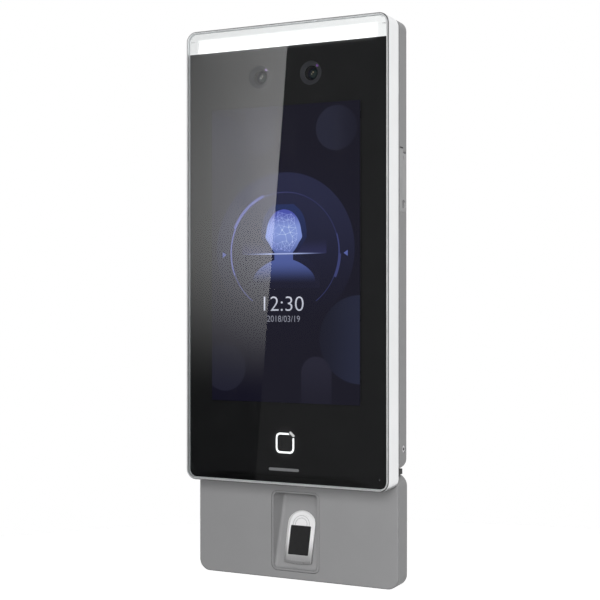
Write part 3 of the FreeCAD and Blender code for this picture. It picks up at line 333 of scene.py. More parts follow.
def black_print():
    """Opaque black ink, with painted glow: the light bar's glow spilling a little below it, and the icon's
    round about.
    """
    f = Finish("black_print", (0.006, 0.006, 0.0065, 1), 0.5, Specular_IOR_Level=0.2)
    f.mottle(20, 0.12)
    f.bump(f.noise(0.15, 2), 0.003, 0.3)
    # painted glow: masks for the emission that stands in for light spilling onto the ink
    above = f.spread(f.axis("Z"), LIT_LOW - 4 * MM, LIT_LOW, 0, 1)
    across = f.maths("ABSOLUTE", f.axis("X"), 0.0)
    within = f.spread(across, LIT_HALF + 1 * MM, LIT_HALF - 4 * MM, 0, 1, True)
    painted_spill = f.maths("MULTIPLY", f.maths("POWER", above, 5.0), within)
    icon = (icon_low + icon_high) / 2
    about = f.spread(f.away((icon.x, -PRINT_FACE, icon.z)), 10 * MM, 5 * MM, 0, 1, True)
    f.feed("Emission Color", f.mixed(painted_spill, f.mixed(about, (0, 0, 0, 1), tone(24)), tone(96)))
    f.shader.inputs["Emission Strength"].default_value = 1.0
    return f.material


def white_print():
    """Translucent white ink round the lit bar; its tone is painted glow, a little lighter to the right and
    brighter close to it.
    """
    f = Finish("white_print", (0.25, 0.25, 0.25, 1), 0.45)
    f.mottle(10, 0.02)
    f.bump(f.noise(0.3, 2), 0.003, 0.3)
    # painted glow: the ink's tone is given as emission, lighter towards the right
    plain = f.mixed(f.spread(f.axis("X"), -LIT_HALF, LIT_HALF, 0, 1), tone(203), tone(215))
    across = f.maths("ABSOLUTE", f.axis("X"), 0.0)
    within = f.spread(across, LIT_HALF + 1 * MM, LIT_HALF - 1 * MM, 0, 1, True)
    near = f.spread(f.axis("Z"), LIT_HIGH + 1.5 * MM, LIT_HIGH, 0, 1, True)
    f.feed("Emission Color", f.mixed(f.maths("MULTIPLY", within, near), plain, tone(250)))
    f.shader.inputs["Emission Strength"].default_value = 1.0
    return f.material


def diffuser():
    """Milky plastic lit from behind: the top bar strongly and unevenly, the card icon's guide less."""

    def light(f):
        strong = f.mixed(f.spread(f.noise(7, 2), 0.35, 0.65, 0, 1), tone(250), tone(255))
        return f.mixed(f.spread(f.axis("Z"), -50 * MM, 50 * MM, 0, 1), tone(196), strong)

    f = glowing("light_bar", None, light, base=(0.9, 0.9, 0.9, 1), strength=1.15)
    f.bump(f.noise(0.2, 2), 0.004, 0.3)
    return f.material


def lens():
    """Lens with a coating: near-black glass with painted reflection, dark green face on and violet at its
    edge.
    """
    f = Finish("lens_glass", (0.006, 0.008, 0.010, 1), 0.05, Coat_Weight=1.0, Coat_Roughness=0.02)
    f.shader.inputs["IOR"].default_value = 1.7
    # painted reflection: the coating's colours go into the base colour by the angle of view
    rim = f.add("ShaderNodeLayerWeight", [("Blend", 0.35)]).outputs["Facing"]
    painted_edge_reflection = f.mixed(f.spread(rim, 0.15, 0.75, 0, 1), (0.004, 0.012, 0.012, 1), (0.045, 0.02, 0.08, 1))
    f.feed("Base Color", f.mixed(f.spread(f.noise(0.8, 3), 0.4, 0.6, 0, 0.15), painted_edge_reflection, (0.01, 0.01, 0.01, 1)))
    f.bump(f.noise(0.5, 1), 0.0006, 0.2)
    return f.material


def sensor_coating():
    """The fingerprint window: dark and smooth, with the sensor's fine grid and faint prints of use."""
    f = Finish("sensor_glass", tone(26, 26, 27), 0.34, Specular_IOR_Level=0.3)
    smear = f.noise(2.6, 5, (1, 1, 1.8))
    f.feed("Base Color", f.mixed(f.spread(smear, 0.35, 0.7, 0, 1), tone(22, 22, 23), tone(31, 31, 32)))
    f.feed("Roughness", f.spread(smear, 0.3, 0.7, 0.28, 0.42))
    f.bump(f.cells(0.12), 0.001, 0.15)
    return f.material


def polariser():
    """The screen's own surface round the picture."""
    f = Finish("lcd", (0.008, 0.008, 0.011, 1), 0.3)
    f.mottle(8, 0.15).scuffed(2, 0.05)
    f.bump(f.noise(0.1, 2), 0.001, 0.2)
    return f.material


def film():
    """Ribbon cable: amber film over parallel copper lines."""
    amber, copper = (0.42, 0.20, 0.05, 1), (0.60, 0.32, 0.12, 1)
    f = Finish("ribbon", amber, 0.28, Coat_Weight=0.4)
    lines = f.add(
        "ShaderNodeTexWave", [("Vector", f.place), ("Scale", 320.0), ("Distortion", 0.0)],
        bands_direction="X",
    ).outputs["Fac"]
    f.feed("Base Color", f.mixed(f.spread(lines, 0.4, 0.6, 0, 1), amber, copper))
    f.bump(lines, 0.01, 0.3)
    return f.material


# places that materials and pieces share: some read from the CAD nodes, the rest given as numbers
icon_low, icon_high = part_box("icon_light_guide")
GLASS_FACE = -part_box("cover_glass")[0].y
PRINT_FACE = -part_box("glass_mask")[0].y
GLASS_INDEX = 1.5
LIT_LOW = 108.5 * MM
LIT_HIGH = 114.9 * MM
LIT_HALF = 52.0 * MM
CHAMFER_FRONT = 0.84
CHAMFER_SIDE = 0.22

finishes = {
    "cover_glass": front_glass(),
    "black_print": black_print(),
    "white_print": white_print(),
    "tape": soft("tape", (0.03, 0.03, 0.03, 1), 0.7),
    "frame_metal": silver_frame(),
    "light_bar": diffuser(),
    "white_board": board("white_board", (0.80, 0.80, 0.78, 1), (0.70, 0.70, 0.66, 1)),
    "green_board": board("green_board", (0.015, 0.11, 0.045, 1), (0.03, 0.19, 0.08, 1)),
    "led": moulded("led", (0.85, 0.78, 0.35, 1), 0.3, 0.2, 0.01),
    "lcd": polariser(),
    "steel": metal("steel", (0.55, 0.55, 0.56, 1), 0.34, (1, 1, 10), 0.3, 0.002),
    "zinc_screw": metal("zinc_screw", (0.62, 0.62, 0.64, 1), 0.24, (1, 1, 1), 0.4, 0.002),
    "black_plastic": moulded("black_plastic", (0.018, 0.018, 0.019, 1), 0.42),
    "lens_glass": lens(),
    "chip": moulded("chip", (0.022, 0.022, 0.024, 1), 0.5, 0.12, 0.01),
    "thermal_pad": soft("thermal_pad", (0.30, 0.40, 0.55, 1), 0.75),
    "heat_sink": metal("heat_sink", (0.62, 0.63, 0.64, 1), 0.4, (1, 1, 16), 0.3, 0.004),
    "seal": soft("seal", (0.07, 0.07, 0.07, 1), 0.7),
    "casing": painted("casing", tone(146, 146, 147), 0.46),
    "port_cover": moulded("port_cover", tone(161, 161, 162), 0.42, 0.35, 0.02),
    "module_shell": painted("module_shell", tone(143, 143, 144), 0.46),
    "bezel": satin_bezel(),
    "sensor_glass": sensor_coating(),
    "blue_relay": moulded("blue_relay", (0.03, 0.11, 0.38, 1), 0.35),
    "header_green": moulded("header_green", (0.03, 0.28, 0.12, 1), 0.4),
    "cell": metal("cell", (0.68, 0.68, 0.68, 1), 0.3, (1, 1, 1), 0.3, 0.002),
    "ribbon": film(),
}
for row in frame["record"]["subparts"]:
    part = nodes[row["node"]]
    part.data.materials.clear()
    part.data.materials.append(finishes[row["material_slot"]])


# ------------------------------------------------------------------ piece helpers
def piece(name, vertices, faces, material, body="root", smooth=False):
    """A mesh in the row frame that rides on a body."""
    mesh = bpy.data.meshes.new(name)
    mesh.from_pydata([tuple(v) for v in vertices], [], faces)
    grown = bmesh.new()
    grown.from_mesh(mesh)
    bmesh.ops.recalc_face_normals(grown, faces=grown.faces)
    grown.to_mesh(mesh)
    grown.free()
    if smooth:
        mesh.polygons.foreach_set("use_smooth", [True] * len(mesh.polygons))
    mesh.materials.append(material)
    made = bpy.data.objects.new(name, mesh)
    bpy.context.scene.collection.objects.link(made)
    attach(made, body)
    return made


def ladder(name, left, right, level, thick, material):
    """A thin closed plate, facing the front, between two lines of as many (x, z) points."""
    count = len(left)
    rails = []
    for depth in (level, level + thick):
        for line in (left, right):
            rails.append([(x, -depth, z) for x, z in line])
    vertices = [v for rail in rails for v in rail]
    back_left, back_right, front_left, front_right = (k * count for k in range(4))
    faces = []
    corners = (front_left, front_right, back_right, back_left)
    for i in range(count - 1):
        j = i + 1
        for k, a in enumerate(corners):
            b = corners[(k + 1) % 4]
            faces.append((a + i, a + j, b + j, b + i))
    for i in (0, count - 1):
        faces.append(tuple(corner + i for corner in corners))
    return piece(name, vertices, faces, material)


def plate(name, outline, level, thick, material, body="root"):
    """A thin closed plate, facing the front, with a convex outline of (x, z) points."""
    count = len(outline)
    vertices = [(x, -level, z) for x, z in outline] + [(x, -level - thick, z) for x, z in outline]
    faces = [tuple(range(count)), tuple(range(count, 2 * count))]
    for i in range(count):
        j = (i + 1) % count
        faces.append((i, j, count + j, count + i))
    return piece(name, vertices, faces, material, body)


def ring_piece(name, centre, profile, material, steps=72):
    """A ring turned about the axis through an (x, z) centre that faces the front, from
    (radius, distance from wall) points in mm."""
    count = len(profile)
    vertices, faces = [], []
    for k in range(steps):
        angle = 2 * math.pi * k / steps
        for radius, level in profile:
            x = centre[0] + radius * MM * math.cos(angle)
            vertices.append((x, -level * MM, centre[1] + radius * MM * math.sin(angle)))
        here, there = k * count, (k + 1) % steps * count
        for i in range(count):
            j = (i + 1) % count
            faces.append((here + i, here + j, there + j, there + i))
    return piece(name, vertices, faces, material)


def arc(centre, radius, start, end, steps=48):
    """Points of an arc, with its angles in degrees from +X towards +Z."""
    points = []
    for k in range(steps + 1):
        angle = math.radians(start + (end - start) * k / steps)
        points.append((centre[0] + radius * math.cos(angle), centre[1] + radius * math.sin(angle)))
    return points


def clipped(outline, half_width, half_height):
    """A convex outline cut to a rectangle about the origin."""
    sides = ((0, 1, half_width), (0, -1, half_width), (1, 1, half_height), (1, -1, half_height))
    for axis, sign, limit in sides:
        kept = []
        for k, here in enumerate(outline):
            before = outline[k - 1]
            inside_here = sign * here[axis] <= limit
            inside_before = sign * before[axis] <= limit
            if inside_here != inside_before:
                share = (sign * limit - before[axis]) / (here[axis] - before[axis])
                kept.append(tuple(before[n] + share * (here[n] - before[n]) for n in (0, 1)))
            if inside_here:
                kept.append(here)
        outline = kept
    return outline


# ------------------------------------------------------------------ the picture on the screen
SCREEN_HALF_W = 42.96 * MM
SCREEN_HALF_H = 77.10 * MM
LAYER = 0.03 * MM
STEP = 0.045 * MM
PICTURE_BACK = GLASS_FACE - 0.6 * MM
NIGHT = tone(24, 23, 37)
DISC_TOP = tone(39, 41, 67)
RING_CENTRE = (0.1 * MM, 0.9 * MM)
RING_RADIUS = 31.2 * MM


def layer(number):
    """How far the back of a layer of the picture stands from the wall. Real glass bends light and so
    lifts the picture, which is why it lies close under the glass's face."""
    return PICTURE_BACK + number * STEP


def picture(name, light):
    """A dim lit finish for a shape in the picture."""
    f = glowing(name, None, light, base=(0, 0, 0, 1), rough=0.6)
    f.shader.inputs["Specular IOR Level"].default_value = 0.0
    return f.material


def fade(first, second, start, end, letter="Z"):
    """Light that goes from one colour to another along an axis."""
    return lambda f: f.mixed(f.spread(f.axis(letter), start, end, 0, 1, True), first, second)


def halo(centre, radius, inside, outside, power=1.0):
    """Light that falls from one colour to another away from an (x, z) centre."""
    point = (centre[0], -PICTURE_BACK, centre[1])

    def light(f):
        near = f.spread(f.away(point), radius, 0, 0, 1, True)
        return f.mixed(f.maths("POWER", near, power), outside, inside)

    return light


def backdrop():
    outline = [(-SCREEN_HALF_W, -SCREEN_HALF_H), (SCREEN_HALF_W, -SCREEN_HALF_H),
               (SCREEN_HALF_W, SCREEN_HALF_H), (-SCREEN_HALF_W, SCREEN_HALF_H)]
    light = halo((0, 0), 70 * MM, tone(26, 25, 41), tone(23, 22, 35))
    plate("screen_backdrop", outline, layer(0), LAYER, picture("screen_night", light))


def shape(name, outline, number, light):
    shown = clipped(outline, SCREEN_HALF_W, SCREEN_HALF_H)
    plate(name, shown, layer(number), LAYER, picture(name, light))


def soft_shapes():
    """The pale circles and pills that float on the backdrop."""
    circles = {
        "screen_circle_right_high": (
            (29.9, 63.9), 11.5, fade(tone(37, 38, 54), tone(28, 28, 42), 24 * MM, 42 * MM, "X")
        ),
        "screen_circle_left_high": (
            (-38.2, 55.0), 18.6, fade(tone(30, 30, 45), tone(26, 25, 39), 70 * MM, 38 * MM)
        ),
        "screen_circle_left_low": (
            (-35.1, -59.5), 12.5, fade(tone(29, 29, 43), tone(34, 34, 48), -50 * MM, -70 * MM)
        ),
        "screen_circle_right_low": (
            (43.0, -43.9), 22.5, fade(tone(27, 28, 43), tone(36, 39, 59), 20 * MM, 43 * MM, "X")
        ),
    }
    for name, (centre, radius, light) in circles.items():
        middle = (centre[0] * MM, centre[1] * MM)
        shape(name, arc(middle, radius * MM, 0, 360, 96)[:-1], 1, light)
    half = 8.6 * MM
    hanging = [(-14.3 * MM + half, 90 * MM), (-14.3 * MM - half, 90 * MM)]
    hanging += arc((-14.3 * MM, 61.0 * MM), half, 180, 360)
    shape("screen_pill_high", hanging, 1, fade(tone(30, 30, 44), tone(38, 38, 53), 80 * MM, 54 * MM))
    standing = [(18.6 * MM - half, -90 * MM), (18.6 * MM + half, -90 * MM)]
    standing += arc((18.6 * MM, -61.5 * MM), half, 0, 180)
    shape("screen_pill_low", standing, 1, fade(tone(29, 28, 42), tone(37, 36, 51), -78 * MM, -54 * MM))
    disc = arc((0.1 * MM, 2.4 * MM), 40 * MM, 0, 360, 128)[:-1]
    shape("screen_disc", disc, 2, fade(DISC_TOP, NIGHT, 44 * MM, -40 * MM))


def band(name, inner, outer, start, end, number, light):
    """A stretch of ring."""
    steps = max(12, int(abs(end - start) / 1.5))
    inside = arc(RING_CENTRE, inner, start, end, steps)
    outside = arc(RING_CENTRE, outer, start, end, steps)
    ladder(name, inside, outside, layer(number), LAYER, picture(name, light))


def rings():
    """The round scale about the head, with its heavier stretches and two pointers."""
    ring = fade(tone(82, 86, 140), tone(48, 52, 92), -30 * MM, 20 * MM, "X")
    bright = fade(tone(96, 102, 168), tone(60, 65, 112), -30 * MM, 30 * MM, "X")
    edge = 0.2 * MM
    band("screen_ring", RING_RADIUS - edge, RING_RADIUS + edge, -54, 234, 3, ring)
    band("screen_arc_left_high", RING_RADIUS, RING_RADIUS + 1.35 * MM, 112, 156, 4, bright)
    band("screen_arc_left_low", RING_RADIUS - 0.3 * MM, RING_RADIUS + 0.45 * MM, 156, 202, 4, bright)
    band("screen_arc_right_high", RING_RADIUS - 0.1 * MM, RING_RADIUS + 0.6 * MM, 17, -2, 4, bright)
    band("screen_arc_right_low", RING_RADIUS - 0.2 * MM, RING_RADIUS + 1.3 * MM, -2, -24, 4, bright)
    pointer = picture("screen_pointer", fade(tone(84, 96, 160), tone(92, 102, 168), -2 * MM, 2 * MM))
    for name, side in (("screen_pointer_left", -1), ("screen_pointer_right", 1)):
        tip, back = 34.0 * MM * side, 36.3 * MM * side
        corners = [(tip, 0.05 * MM), (back, 1.55 * MM), (back, -1.45 * MM)]
        plate(name, corners, layer(4), LAYER, pointer)


HEAD_TOP, HEAD_CHIN, HEAD_HALF = 23.2, -1.6, 10.1
NECK_HALF, SHOULDER_HALF, BUST_LOW = 5.4, 18.0, -17.5
AURA = 2.6
WEB_HALF = 0.075


def bust_half_width(z):
    """Half the width in mm of a plain head, neck and shoulders at height z in mm."""
    middle = (HEAD_TOP + HEAD_CHIN) / 2
    share = (z - middle) / ((HEAD_TOP - HEAD_CHIN) / 2)
    head = 0.0
    if abs(share) < 1:
        head = HEAD_HALF * math.sqrt(1 - share * share) * (1 - 0.16 * max(0.0, -share))
    ear = 0.9 * math.exp(-(((z - 8.6) / 2.0) ** 2))
    shoulder = NECK_HALF if z < 2.5 else 0.0
    slope = min(1.0, max(0.0, (-3.2 - z) / 10.5))
    if slope > 0:
        shoulder += (SHOULDER_HALF - NECK_HALF) * math.sin(slope * math.pi / 2) ** 0.75
    return max(head + ear if head > 0 else 0.0, shoulder)


def head():
    """A plain bust in blue light, its scan line, and a web of fine lines and points over the head."""
    rows = 90
    heights = [HEAD_TOP - 0.02 - (HEAD_TOP - BUST_LOW) * k / rows for k in range(rows + 1)]
    left = [(-bust_half_width(z) * MM, z * MM) for z in heights]
    right = [(-x, z) for x, z in left]

    def light(f):
        crown = f.spread(f.axis("Z"), 22 * MM, 13 * MM, 0, 1, True)
        high = f.mixed(crown, tone(76, 84, 172), tone(128, 146, 214))
        chest = f.spread(f.axis("Z"), -3 * MM, -15.5 * MM, 0, 1, True)
        low = f.mixed(chest, tone(80, 94, 156), tone(29, 29, 48))
        body = f.mixed(f.spread(f.axis("Z"), 11 * MM, -2 * MM, 0, 1, True), high, low)
        core = f.spread(f.away((0, -PICTURE_BACK, 10 * MM)), 13 * MM, 2 * MM, 0, 0.3, True)
        return f.mixed(core, body, tone(150, 170, 226))

    wider = [max(bust_half_width(z), bust_half_width(z - AURA)) + AURA for z in heights]
    aura_left = [(-AURA * MM * 2.2, (HEAD_TOP + AURA) * MM)]
    aura_left += [(-x * MM, z * MM) for x, z in zip(wider, heights)]
    aura_right = [(-x, z) for x, z in aura_left]
    aura = picture("screen_head_aura", fade(tone(40, 50, 92), tone(31, 31, 50), 24 * MM, -10 * MM))
    ladder("screen_head_aura", aura_left, aura_right, layer(3), LAYER, aura)
    ladder("screen_head", left, right, layer(5), LAYER, picture("screen_head", light))
    web()


def web():
    """Fine lines between scattered points of the head, and brighter dots where they meet."""
    draw = random.Random(11)
    points = []
    while len(points) < 44:
        x, z = draw.uniform(-9.2, 9.2), draw.uniform(0.5, 22.0)
        roomy = all(math.hypot(x - a, z - b) > 2.1 for a, b in points)
        if roomy and abs(x) < bust_half_width(z) - 0.9:
            points.append((x, z))
    vertices, faces = [], []

    def add(corners):
        start = len(vertices)
        for depth in (layer(6), layer(6) + LAYER):
            vertices.extend((x * MM, -depth, z * MM) for x, z in corners)
        count = len(corners)
        faces.append(tuple(start + i for i in range(count)))
        faces.append(tuple(start + count + i for i in range(count)))
        for i in range(count):
            j = (i + 1) % count
            faces.append((start + i, start + j, start + count + j, start + count + i))

    joined = set()
    for k, (x, z) in enumerate(points):
        nearest = sorted(
            range(len(points)), key=lambda m: math.hypot(points[m][0] - x, points[m][1] - z)
        )
        for m in nearest[1:5]:
            joined.add((min(k, m), max(k, m)))
    for k, m in sorted(joined):
        (x, z), (u, v) = points[k], points[m]
        length = math.hypot(u - x, v - z)
        across = ((v - z) / length * WEB_HALF, -(u - x) / length * WEB_HALF)
        add([(x + across[0], z + across[1]), (u + across[0], v + across[1]),
             (u - across[0], v - across[1]), (x - across[0], z - across[1])])
    for k, (x, z) in enumerate(points):
        radius = 0.48 if k % 9 == 0 else 0.2
        add(arc((x, z), radius, 0, 360, 8)[:-1])
    light = halo((2 * MM, 11 * MM), 12 * MM, tone(206, 222, 252), tone(140, 152, 226))
    piece("screen_head_web", vertices, faces, picture("screen_head_web", light))


def scan_line():
    """A level line across the head, thick in the middle and pointed at its ends, under a faint
    sheet of light."""
    height, half, steps = 0.15 * MM, 24.4 * MM, 60
    sheet_top = height + 8 * MM
    sheet = [(-half, height), (half, height), (half, sheet_top), (-half, sheet_top)]
    glow = picture("screen_scan_sheet", fade(tone(44, 45, 78), tone(34, 35, 57), height, sheet_top))
    plate("screen_scan_sheet", sheet, layer(2) + STEP / 2, LAYER / 3, glow)
    upper, lower = [], []
    for k in range(steps + 1):
        x = -half + 2 * half * k / steps
        thick = 0.32 * MM * (1 - (x / half) ** 4) + 0.01 * MM
        upper.append((x, height + thick))
        lower.append((x, height - thick))

    def light(f):
        reach = f.spread(f.maths("ABSOLUTE", f.axis("X"), 0.0), half, 2 * MM, 0, 1, True)
        return f.mixed(reach, tone(66, 70, 112), tone(172, 184, 232))

    ladder("screen_scan_line", upper, lower, layer(7), LAYER, picture("screen_scan_line", light))


def lettering(name, text, left, right, low, high, level, thin, material):
    """Digits in the built-in font, fitted to a rectangle."""
    curve = bpy.data.curves.new(name, "FONT")
    curve.body = text
    curve.size = 1.0
    curve.offset = thin
    curve.extrude = 0.01
    curve.resolution_u = 6
    holder = bpy.data.objects.new(name + "_source", curve)
    bpy.context.scene.collection.objects.link(holder)
    bpy.context.view_layer.update()
    depsgraph = bpy.context.evaluated_depsgraph_get()
    mesh = bpy.data.meshes.new_from_object(holder.evaluated_get(depsgraph))
    bpy.data.objects.remove(holder)
    xs = [v.co.x for v in mesh.vertices]
    ys = [v.co.y for v in mesh.vertices]
    for v in mesh.vertices:
        x = left + (v.co.x - min(xs)) / (max(xs) - min(xs)) * (right - left)
        z = low + (v.co.y - min(ys)) / (max(ys) - min(ys)) * (high - low)
        depth = level + (LAYER if v.co.z > 0 else 0.0)
        v.co = Vector((x, -depth, z))
    mesh.name = name
    mesh.materials.clear()
    mesh.materials.append(material)
    made = bpy.data.objects.new(name, mesh)
    bpy.context.scene.collection.objects.link(made)
    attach(made, "root")


def clock():
    large = fade(tone(204, 206, 220), tone(190, 193, 208), -22 * MM, -30 * MM)
    small = fade(tone(150, 152, 166), tone(140, 142, 156), -31 * MM, -36 * MM)
    lettering(
        "screen_clock", "12:30", -11.6 * MM, 11.5 * MM, -29.5 * MM, -22.0 * MM,
        layer(7), -0.012, picture("screen_digits", large),
    )
    lettering(
        "screen_date", "2018/03/19", -9.6 * MM, 9.4 * MM, -35.2 * MM, -32.0 * MM,
        layer(7), -0.008, picture("screen_small_digits", small),
    )


# ------------------------------------------------------------------ marks on the print
def card_icon():
    """The short rounded tab at the icon's upper right corner, lit like its ring, over a dark gap."""
    middle_x = icon_high.x - 1.0 * MM
    middle_z = icon_high.z - 0.9 * MM
    turn = math.radians(-42)
    long = 1.15 * MM

    def capsule(half):
        outline = []
        for x, z in arc((long, 0), half, -90, 90, 12) + arc((-long, 0), half, 90, 270, 12):
            outline.append((
                middle_x + x * math.cos(turn) - z * math.sin(turn),
                middle_z + x * math.sin(turn) + z * math.cos(turn),
            ))
        return outline

    ink = finishes["black_print"]
    plate("card_icon_gap", capsule(1.2 * MM), PRINT_FACE + 1.2 * MM, LAYER, ink)
    lit = glowing("icon_tab", None, fade(tone(196), tone(206), middle_z - 1 * MM, middle_z + 1 * MM))
    plate("card_icon_tab", capsule(0.66 * MM), PRINT_FACE + 1.3 * MM, LAYER, lit.material)


def plain_dash():
    """A plain grey dash, printed low in the middle of the glass."""
    height, radius, reach = -111.9 * MM, 0.75 * MM, 8 * MM
    grey = Finish("grey_ink", tone(112, 112, 114), 0.5)
    grey.mottle(1.2, 0.06)
    outline = arc((reach, height), radius, -90, 90, 12)
    outline += arc((-reach, height), radius, 90, 270, 12)
    plate("print_dash", outline, PRINT_FACE + 1.3 * MM, LAYER, grey.material)


# ------------------------------------------------------------------ camera optics
def painted_glint(name, colour, glow):
    """Painted glint: a tiny glowing face whose emission stands in for light reflected by an optical coating.
    """
    f = Finish(name, colour, 0.15, Coat_Weight=1.0)
    f.mottle(0.4, 0.2)
    f.feed("Emission Color", f.mixed(f.spread(f.noise(0.5, 2), 0.3, 0.7, 0, 1), lighter(glow, 0.75), glow))
    f.shader.inputs["Emission Strength"].default_value = 1.0
    return f.material


def camera_optics():
    """Inside each camera's barrel: a dished ring with fine steps, a turned rim, and painted glints."""
    dish = moulded("camera_dish", (0.022, 0.022, 0.026, 1), 0.38, 0.2, 0.004)
    rim = metal("camera_rim", (0.16, 0.16, 0.165, 1), 0.22, (1, 1, 1), 0.3, 0.0005, 0.02)
    violet = painted_glint("camera_violet_glint", (0.05, 0.02, 0.09, 1), tone(84, 48, 112))
    amber = painted_glint("camera_amber_glint", (0.05, 0.04, 0.03, 1), tone(92, 82, 66))
    for camera_name in ("colour_camera", "infrared_camera"):
        low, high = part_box(camera_name + "_barrel")
        centre = ((low.x + high.x) / 2, (low.z + high.z) / 2)
        front = -low.y / MM
        steps = [(6.15, front + 0.02), (6.15, front + 0.25), (5.9, front + 0.25)]
        for k in range(5):
            radius = 5.7 - 0.38 * k
            steps += [(radius, front + 0.16 - 0.13 * k), (radius - 0.19, front + 0.13 - 0.13 * k)]
        steps += [
            (3.75, front - 0.52), (3.75, front - 0.72), (5.2, front - 0.62), (5.9, front + 0.02)
        ]
        ring_piece(camera_name + "_dish", centre, steps, dish)
        edge = [
            (3.72, front - 0.95), (3.72, front - 0.5), (3.52, front - 0.42),
            (3.3, front - 0.7), (3.3, front - 0.95),
        ]
        ring_piece(camera_name + "_rim", centre, edge, rim)
        # painted glints: a violet disc on the dish and two amber specks deep inside glow as reflections
        # would
        glint = (centre[0] + 3.7 * MM, centre[1] + 3.6 * MM)
        disc = arc(glint, 0.75 * MM, 0, 360, 24)[:-1]
        plate(camera_name + "_violet", disc, (front + 0.08) * MM, 0.03 * MM, violet)
        for number, (x, z, radius) in enumerate(((0.55, 0.55, 0.42), (-0.25, -0.35, 0.3))):
            place = (centre[0] + x * MM, centre[1] + z * MM)
            spark = arc(place, radius * MM, 0, 360, 16)[:-1]
            name = f"{camera_name}_amber_{number}"
            plate(name, spark, (front - 1.6) * MM, 0.02 * MM, amber)


def rear_label():
    """A blank satin label, with a printed border, on the back above the bracket."""
    f = Finish("label", (0.62, 0.63, 0.64, 1), 0.35, 0.3)
    f.mottle(5, 0.03).scuffed(2, 0.05)
    across = f.maths("ABSOLUTE", f.axis("X"), 0.0)
    up = f.maths("ABSOLUTE", f.maths("SUBTRACT", f.axis("Z"), LABEL_UP), 0.0)

    def beyond(inset):
        """1 nearer to the label's edge than the inset, otherwise 0."""
        blur = 0.1 * MM
        sideways = f.spread(across, LABEL_HALF_W - inset, LABEL_HALF_W - inset + blur, 0, 1)
        upwards = f.spread(up, LABEL_HALF_H - inset, LABEL_HALF_H - inset + blur, 0, 1)
        return f.maths("MAXIMUM", sideways, upwards)

    line = f.maths("SUBTRACT", beyond(1.6 * MM), beyond(1.2 * MM))
    f.feed("Base Color", f.mixed(line, f.colour_now, (0.05, 0.05, 0.05, 1)))
    corner = 1.5 * MM
    outline = []
    for x, z, start in ((1, 1, 0), (-1, 1, 90), (-1, -1, 180), (1, -1, 270)):
        middle = (x * (LABEL_HALF_W - corner), LABEL_UP + z * (LABEL_HALF_H - corner))
        outline += arc(middle, corner, start, start + 90, 8)
    back = -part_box("rear_casing")[1].y
    plate("rear_label", outline, back - 0.08 * MM, 0.06 * MM, f.material)


LABEL_UP = 96 * MM
LABEL_HALF_W, LABEL_HALF_H = 24 * MM, 11 * MM

camera_optics()
rear_label()
backdrop()
soft_shapes()
rings()
head()
scan_line()
clock()
card_icon()
plain_dash()

# ------------------------------------------------------------------ stage
FLOOR_DROP = 0.13
FLOOR_RADIUS = 0.80
FLOOR_BACK = 0.12


def floor():
    """A plain pale disc below the terminal."""
    pale = Finish("floor", (0.92, 0.92, 0.92, 1), 0.7)
    pale.mottle(60, 0.01)
    pale.shader.inputs["Emission Color"].default_value = (1, 1, 1, 1)
    pale.shader.inputs["Emission Strength"].default_value = 0.6
    low = cad_box[0].z - FLOOR_DROP
    mesh = bpy.data.meshes.new("floor")
    rim = [(x, y + FLOOR_BACK, low) for x, y in arc((0, 0), FLOOR_RADIUS, 0, 360, 96)[:-1]]
    mesh.from_pydata(rim, [], [tuple(range(len(rim)))])
    mesh.materials.append(pale.material)
    made = bpy.data.objects.new("floor", mesh)
    made.visible_glossy = False
    made.visible_diffuse = False
    bpy.context.scene.collection.objects.link(made)


def reflected_card():
    """A tall soft light far to the left, seen only as the slanted sheen in the glass. It fades
    leftward and down."""
    depth = -1.2
    right_high, right_low = (-0.5855, 0.375), (-0.650, -0.40)
    left = -0.95
    f = Finish("card_light", (0, 0, 0, 1), 1.0)
    across = f.spread(f.axis("X"), -0.76, -0.59, 0.46, 1.0)
    down = f.spread(f.axis("Z"), -0.18, 0.10, 0.0, 1.2, True)
    high = f.spread(f.axis("Z"), 0.14, 0.36, 1.0, 0.76, True)
    share = f.maths("MULTIPLY", f.maths("MULTIPLY", across, down), high)
    f.feed("Emission Strength", f.maths("MULTIPLY", share, 3.9))
    f.shader.inputs["Emission Color"].default_value = (1, 1, 1, 1)
    f.shader.inputs["Specular IOR Level"].default_value = 0.0
    mesh = bpy.data.meshes.new("card_light")
    corners = [(left, depth, right_low[1]), (right_low[0], depth, right_low[1]),
               (right_high[0], depth, right_high[1]), (left, depth, right_high[1])]
    mesh.from_pydata(corners, [], [(0, 1, 2, 3)])
    mesh.materials.append(f.material)
    made = bpy.data.objects.new("card_light", mesh)
    made.visible_camera = False
    made.visible_diffuse = False
    made.visible_shadow = False
    bpy.context.scene.collection.objects.link(made)


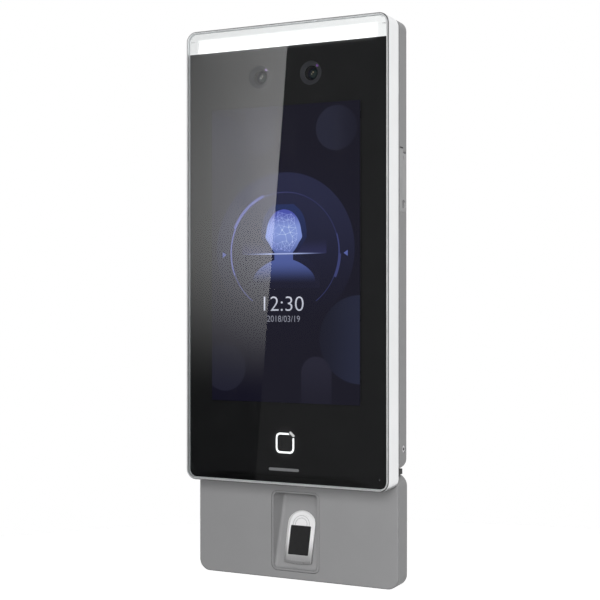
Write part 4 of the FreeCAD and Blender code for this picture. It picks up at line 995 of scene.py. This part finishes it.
def lamp(name, place, aim, width, height, watts):
    data = bpy.data.lights.new(name, "AREA")
    data.shape = "RECTANGLE"
    data.size = width
    data.size_y = height
    data.energy = watts
    made = bpy.data.objects.new(name, data)
    made.location = place
    made.rotation_euler = (Vector(aim) - Vector(place)).to_track_quat("-Z", "Y").to_euler()
    made.visible_camera = False
    made.visible_glossy = False
    bpy.context.scene.collection.objects.link(made)
    return made


def surroundings():
    """White to the eye. As light, white behind the terminal, dim in front of it, where its glass
    looks, and dim far above and below it."""
    world = bpy.data.worlds.new("studio")
    bpy.context.scene.world = world
    world.use_nodes = True
    tree = world.node_tree
    background = tree.nodes["Background"]
    direction = tree.nodes.new("ShaderNodeTexCoord")
    parts = tree.nodes.new("ShaderNodeSeparateXYZ")
    tree.links.new(direction.outputs["Generated"], parts.inputs[0])
    ramp = tree.nodes.new("ShaderNodeMapRange")
    ramp.interpolation_type = "SMOOTHSTEP"
    for socket, value in (
        ("From Min", -0.08), ("From Max", 0.80), ("To Min", 0.14), ("To Max", 1.12)
    ):
        ramp.inputs[socket].default_value = value
    tree.links.new(parts.outputs["Y"], ramp.inputs["Value"])
    steepness = tree.nodes.new("ShaderNodeMath")
    steepness.operation = "ABSOLUTE"
    tree.links.new(parts.outputs["Z"], steepness.inputs[0])
    level = tree.nodes.new("ShaderNodeMapRange")
    level.interpolation_type = "SMOOTHSTEP"
    for socket, value in (("From Min", 0.45), ("From Max", 0.95), ("To Min", 1.0), ("To Max", 0.2)):
        level.inputs[socket].default_value = value
    tree.links.new(steepness.outputs[0], level.inputs["Value"])
    both = tree.nodes.new("ShaderNodeMath")
    both.operation = "MULTIPLY"
    tree.links.new(ramp.outputs["Result"], both.inputs[0])
    tree.links.new(level.outputs["Result"], both.inputs[1])
    path = tree.nodes.new("ShaderNodeLightPath")
    choose = tree.nodes.new("ShaderNodeMix")
    tree.links.new(path.outputs["Is Camera Ray"], choose.inputs[0])
    tree.links.new(both.outputs[0], choose.inputs[2])
    choose.inputs[3].default_value = 1.0
    tree.links.new(choose.outputs[0], background.inputs["Strength"])
    background.inputs["Color"].default_value = (1, 1, 1, 1)


floor()
reflected_card()
lamp("key", (0.22, -0.60, 0.03), (0, 0, -0.06), 0.35, 0.45, 4.3)
lamp("top", (0.1, -0.25, 1.1), (0, 0, 0), 0.8, 0.6, 6)
surroundings()
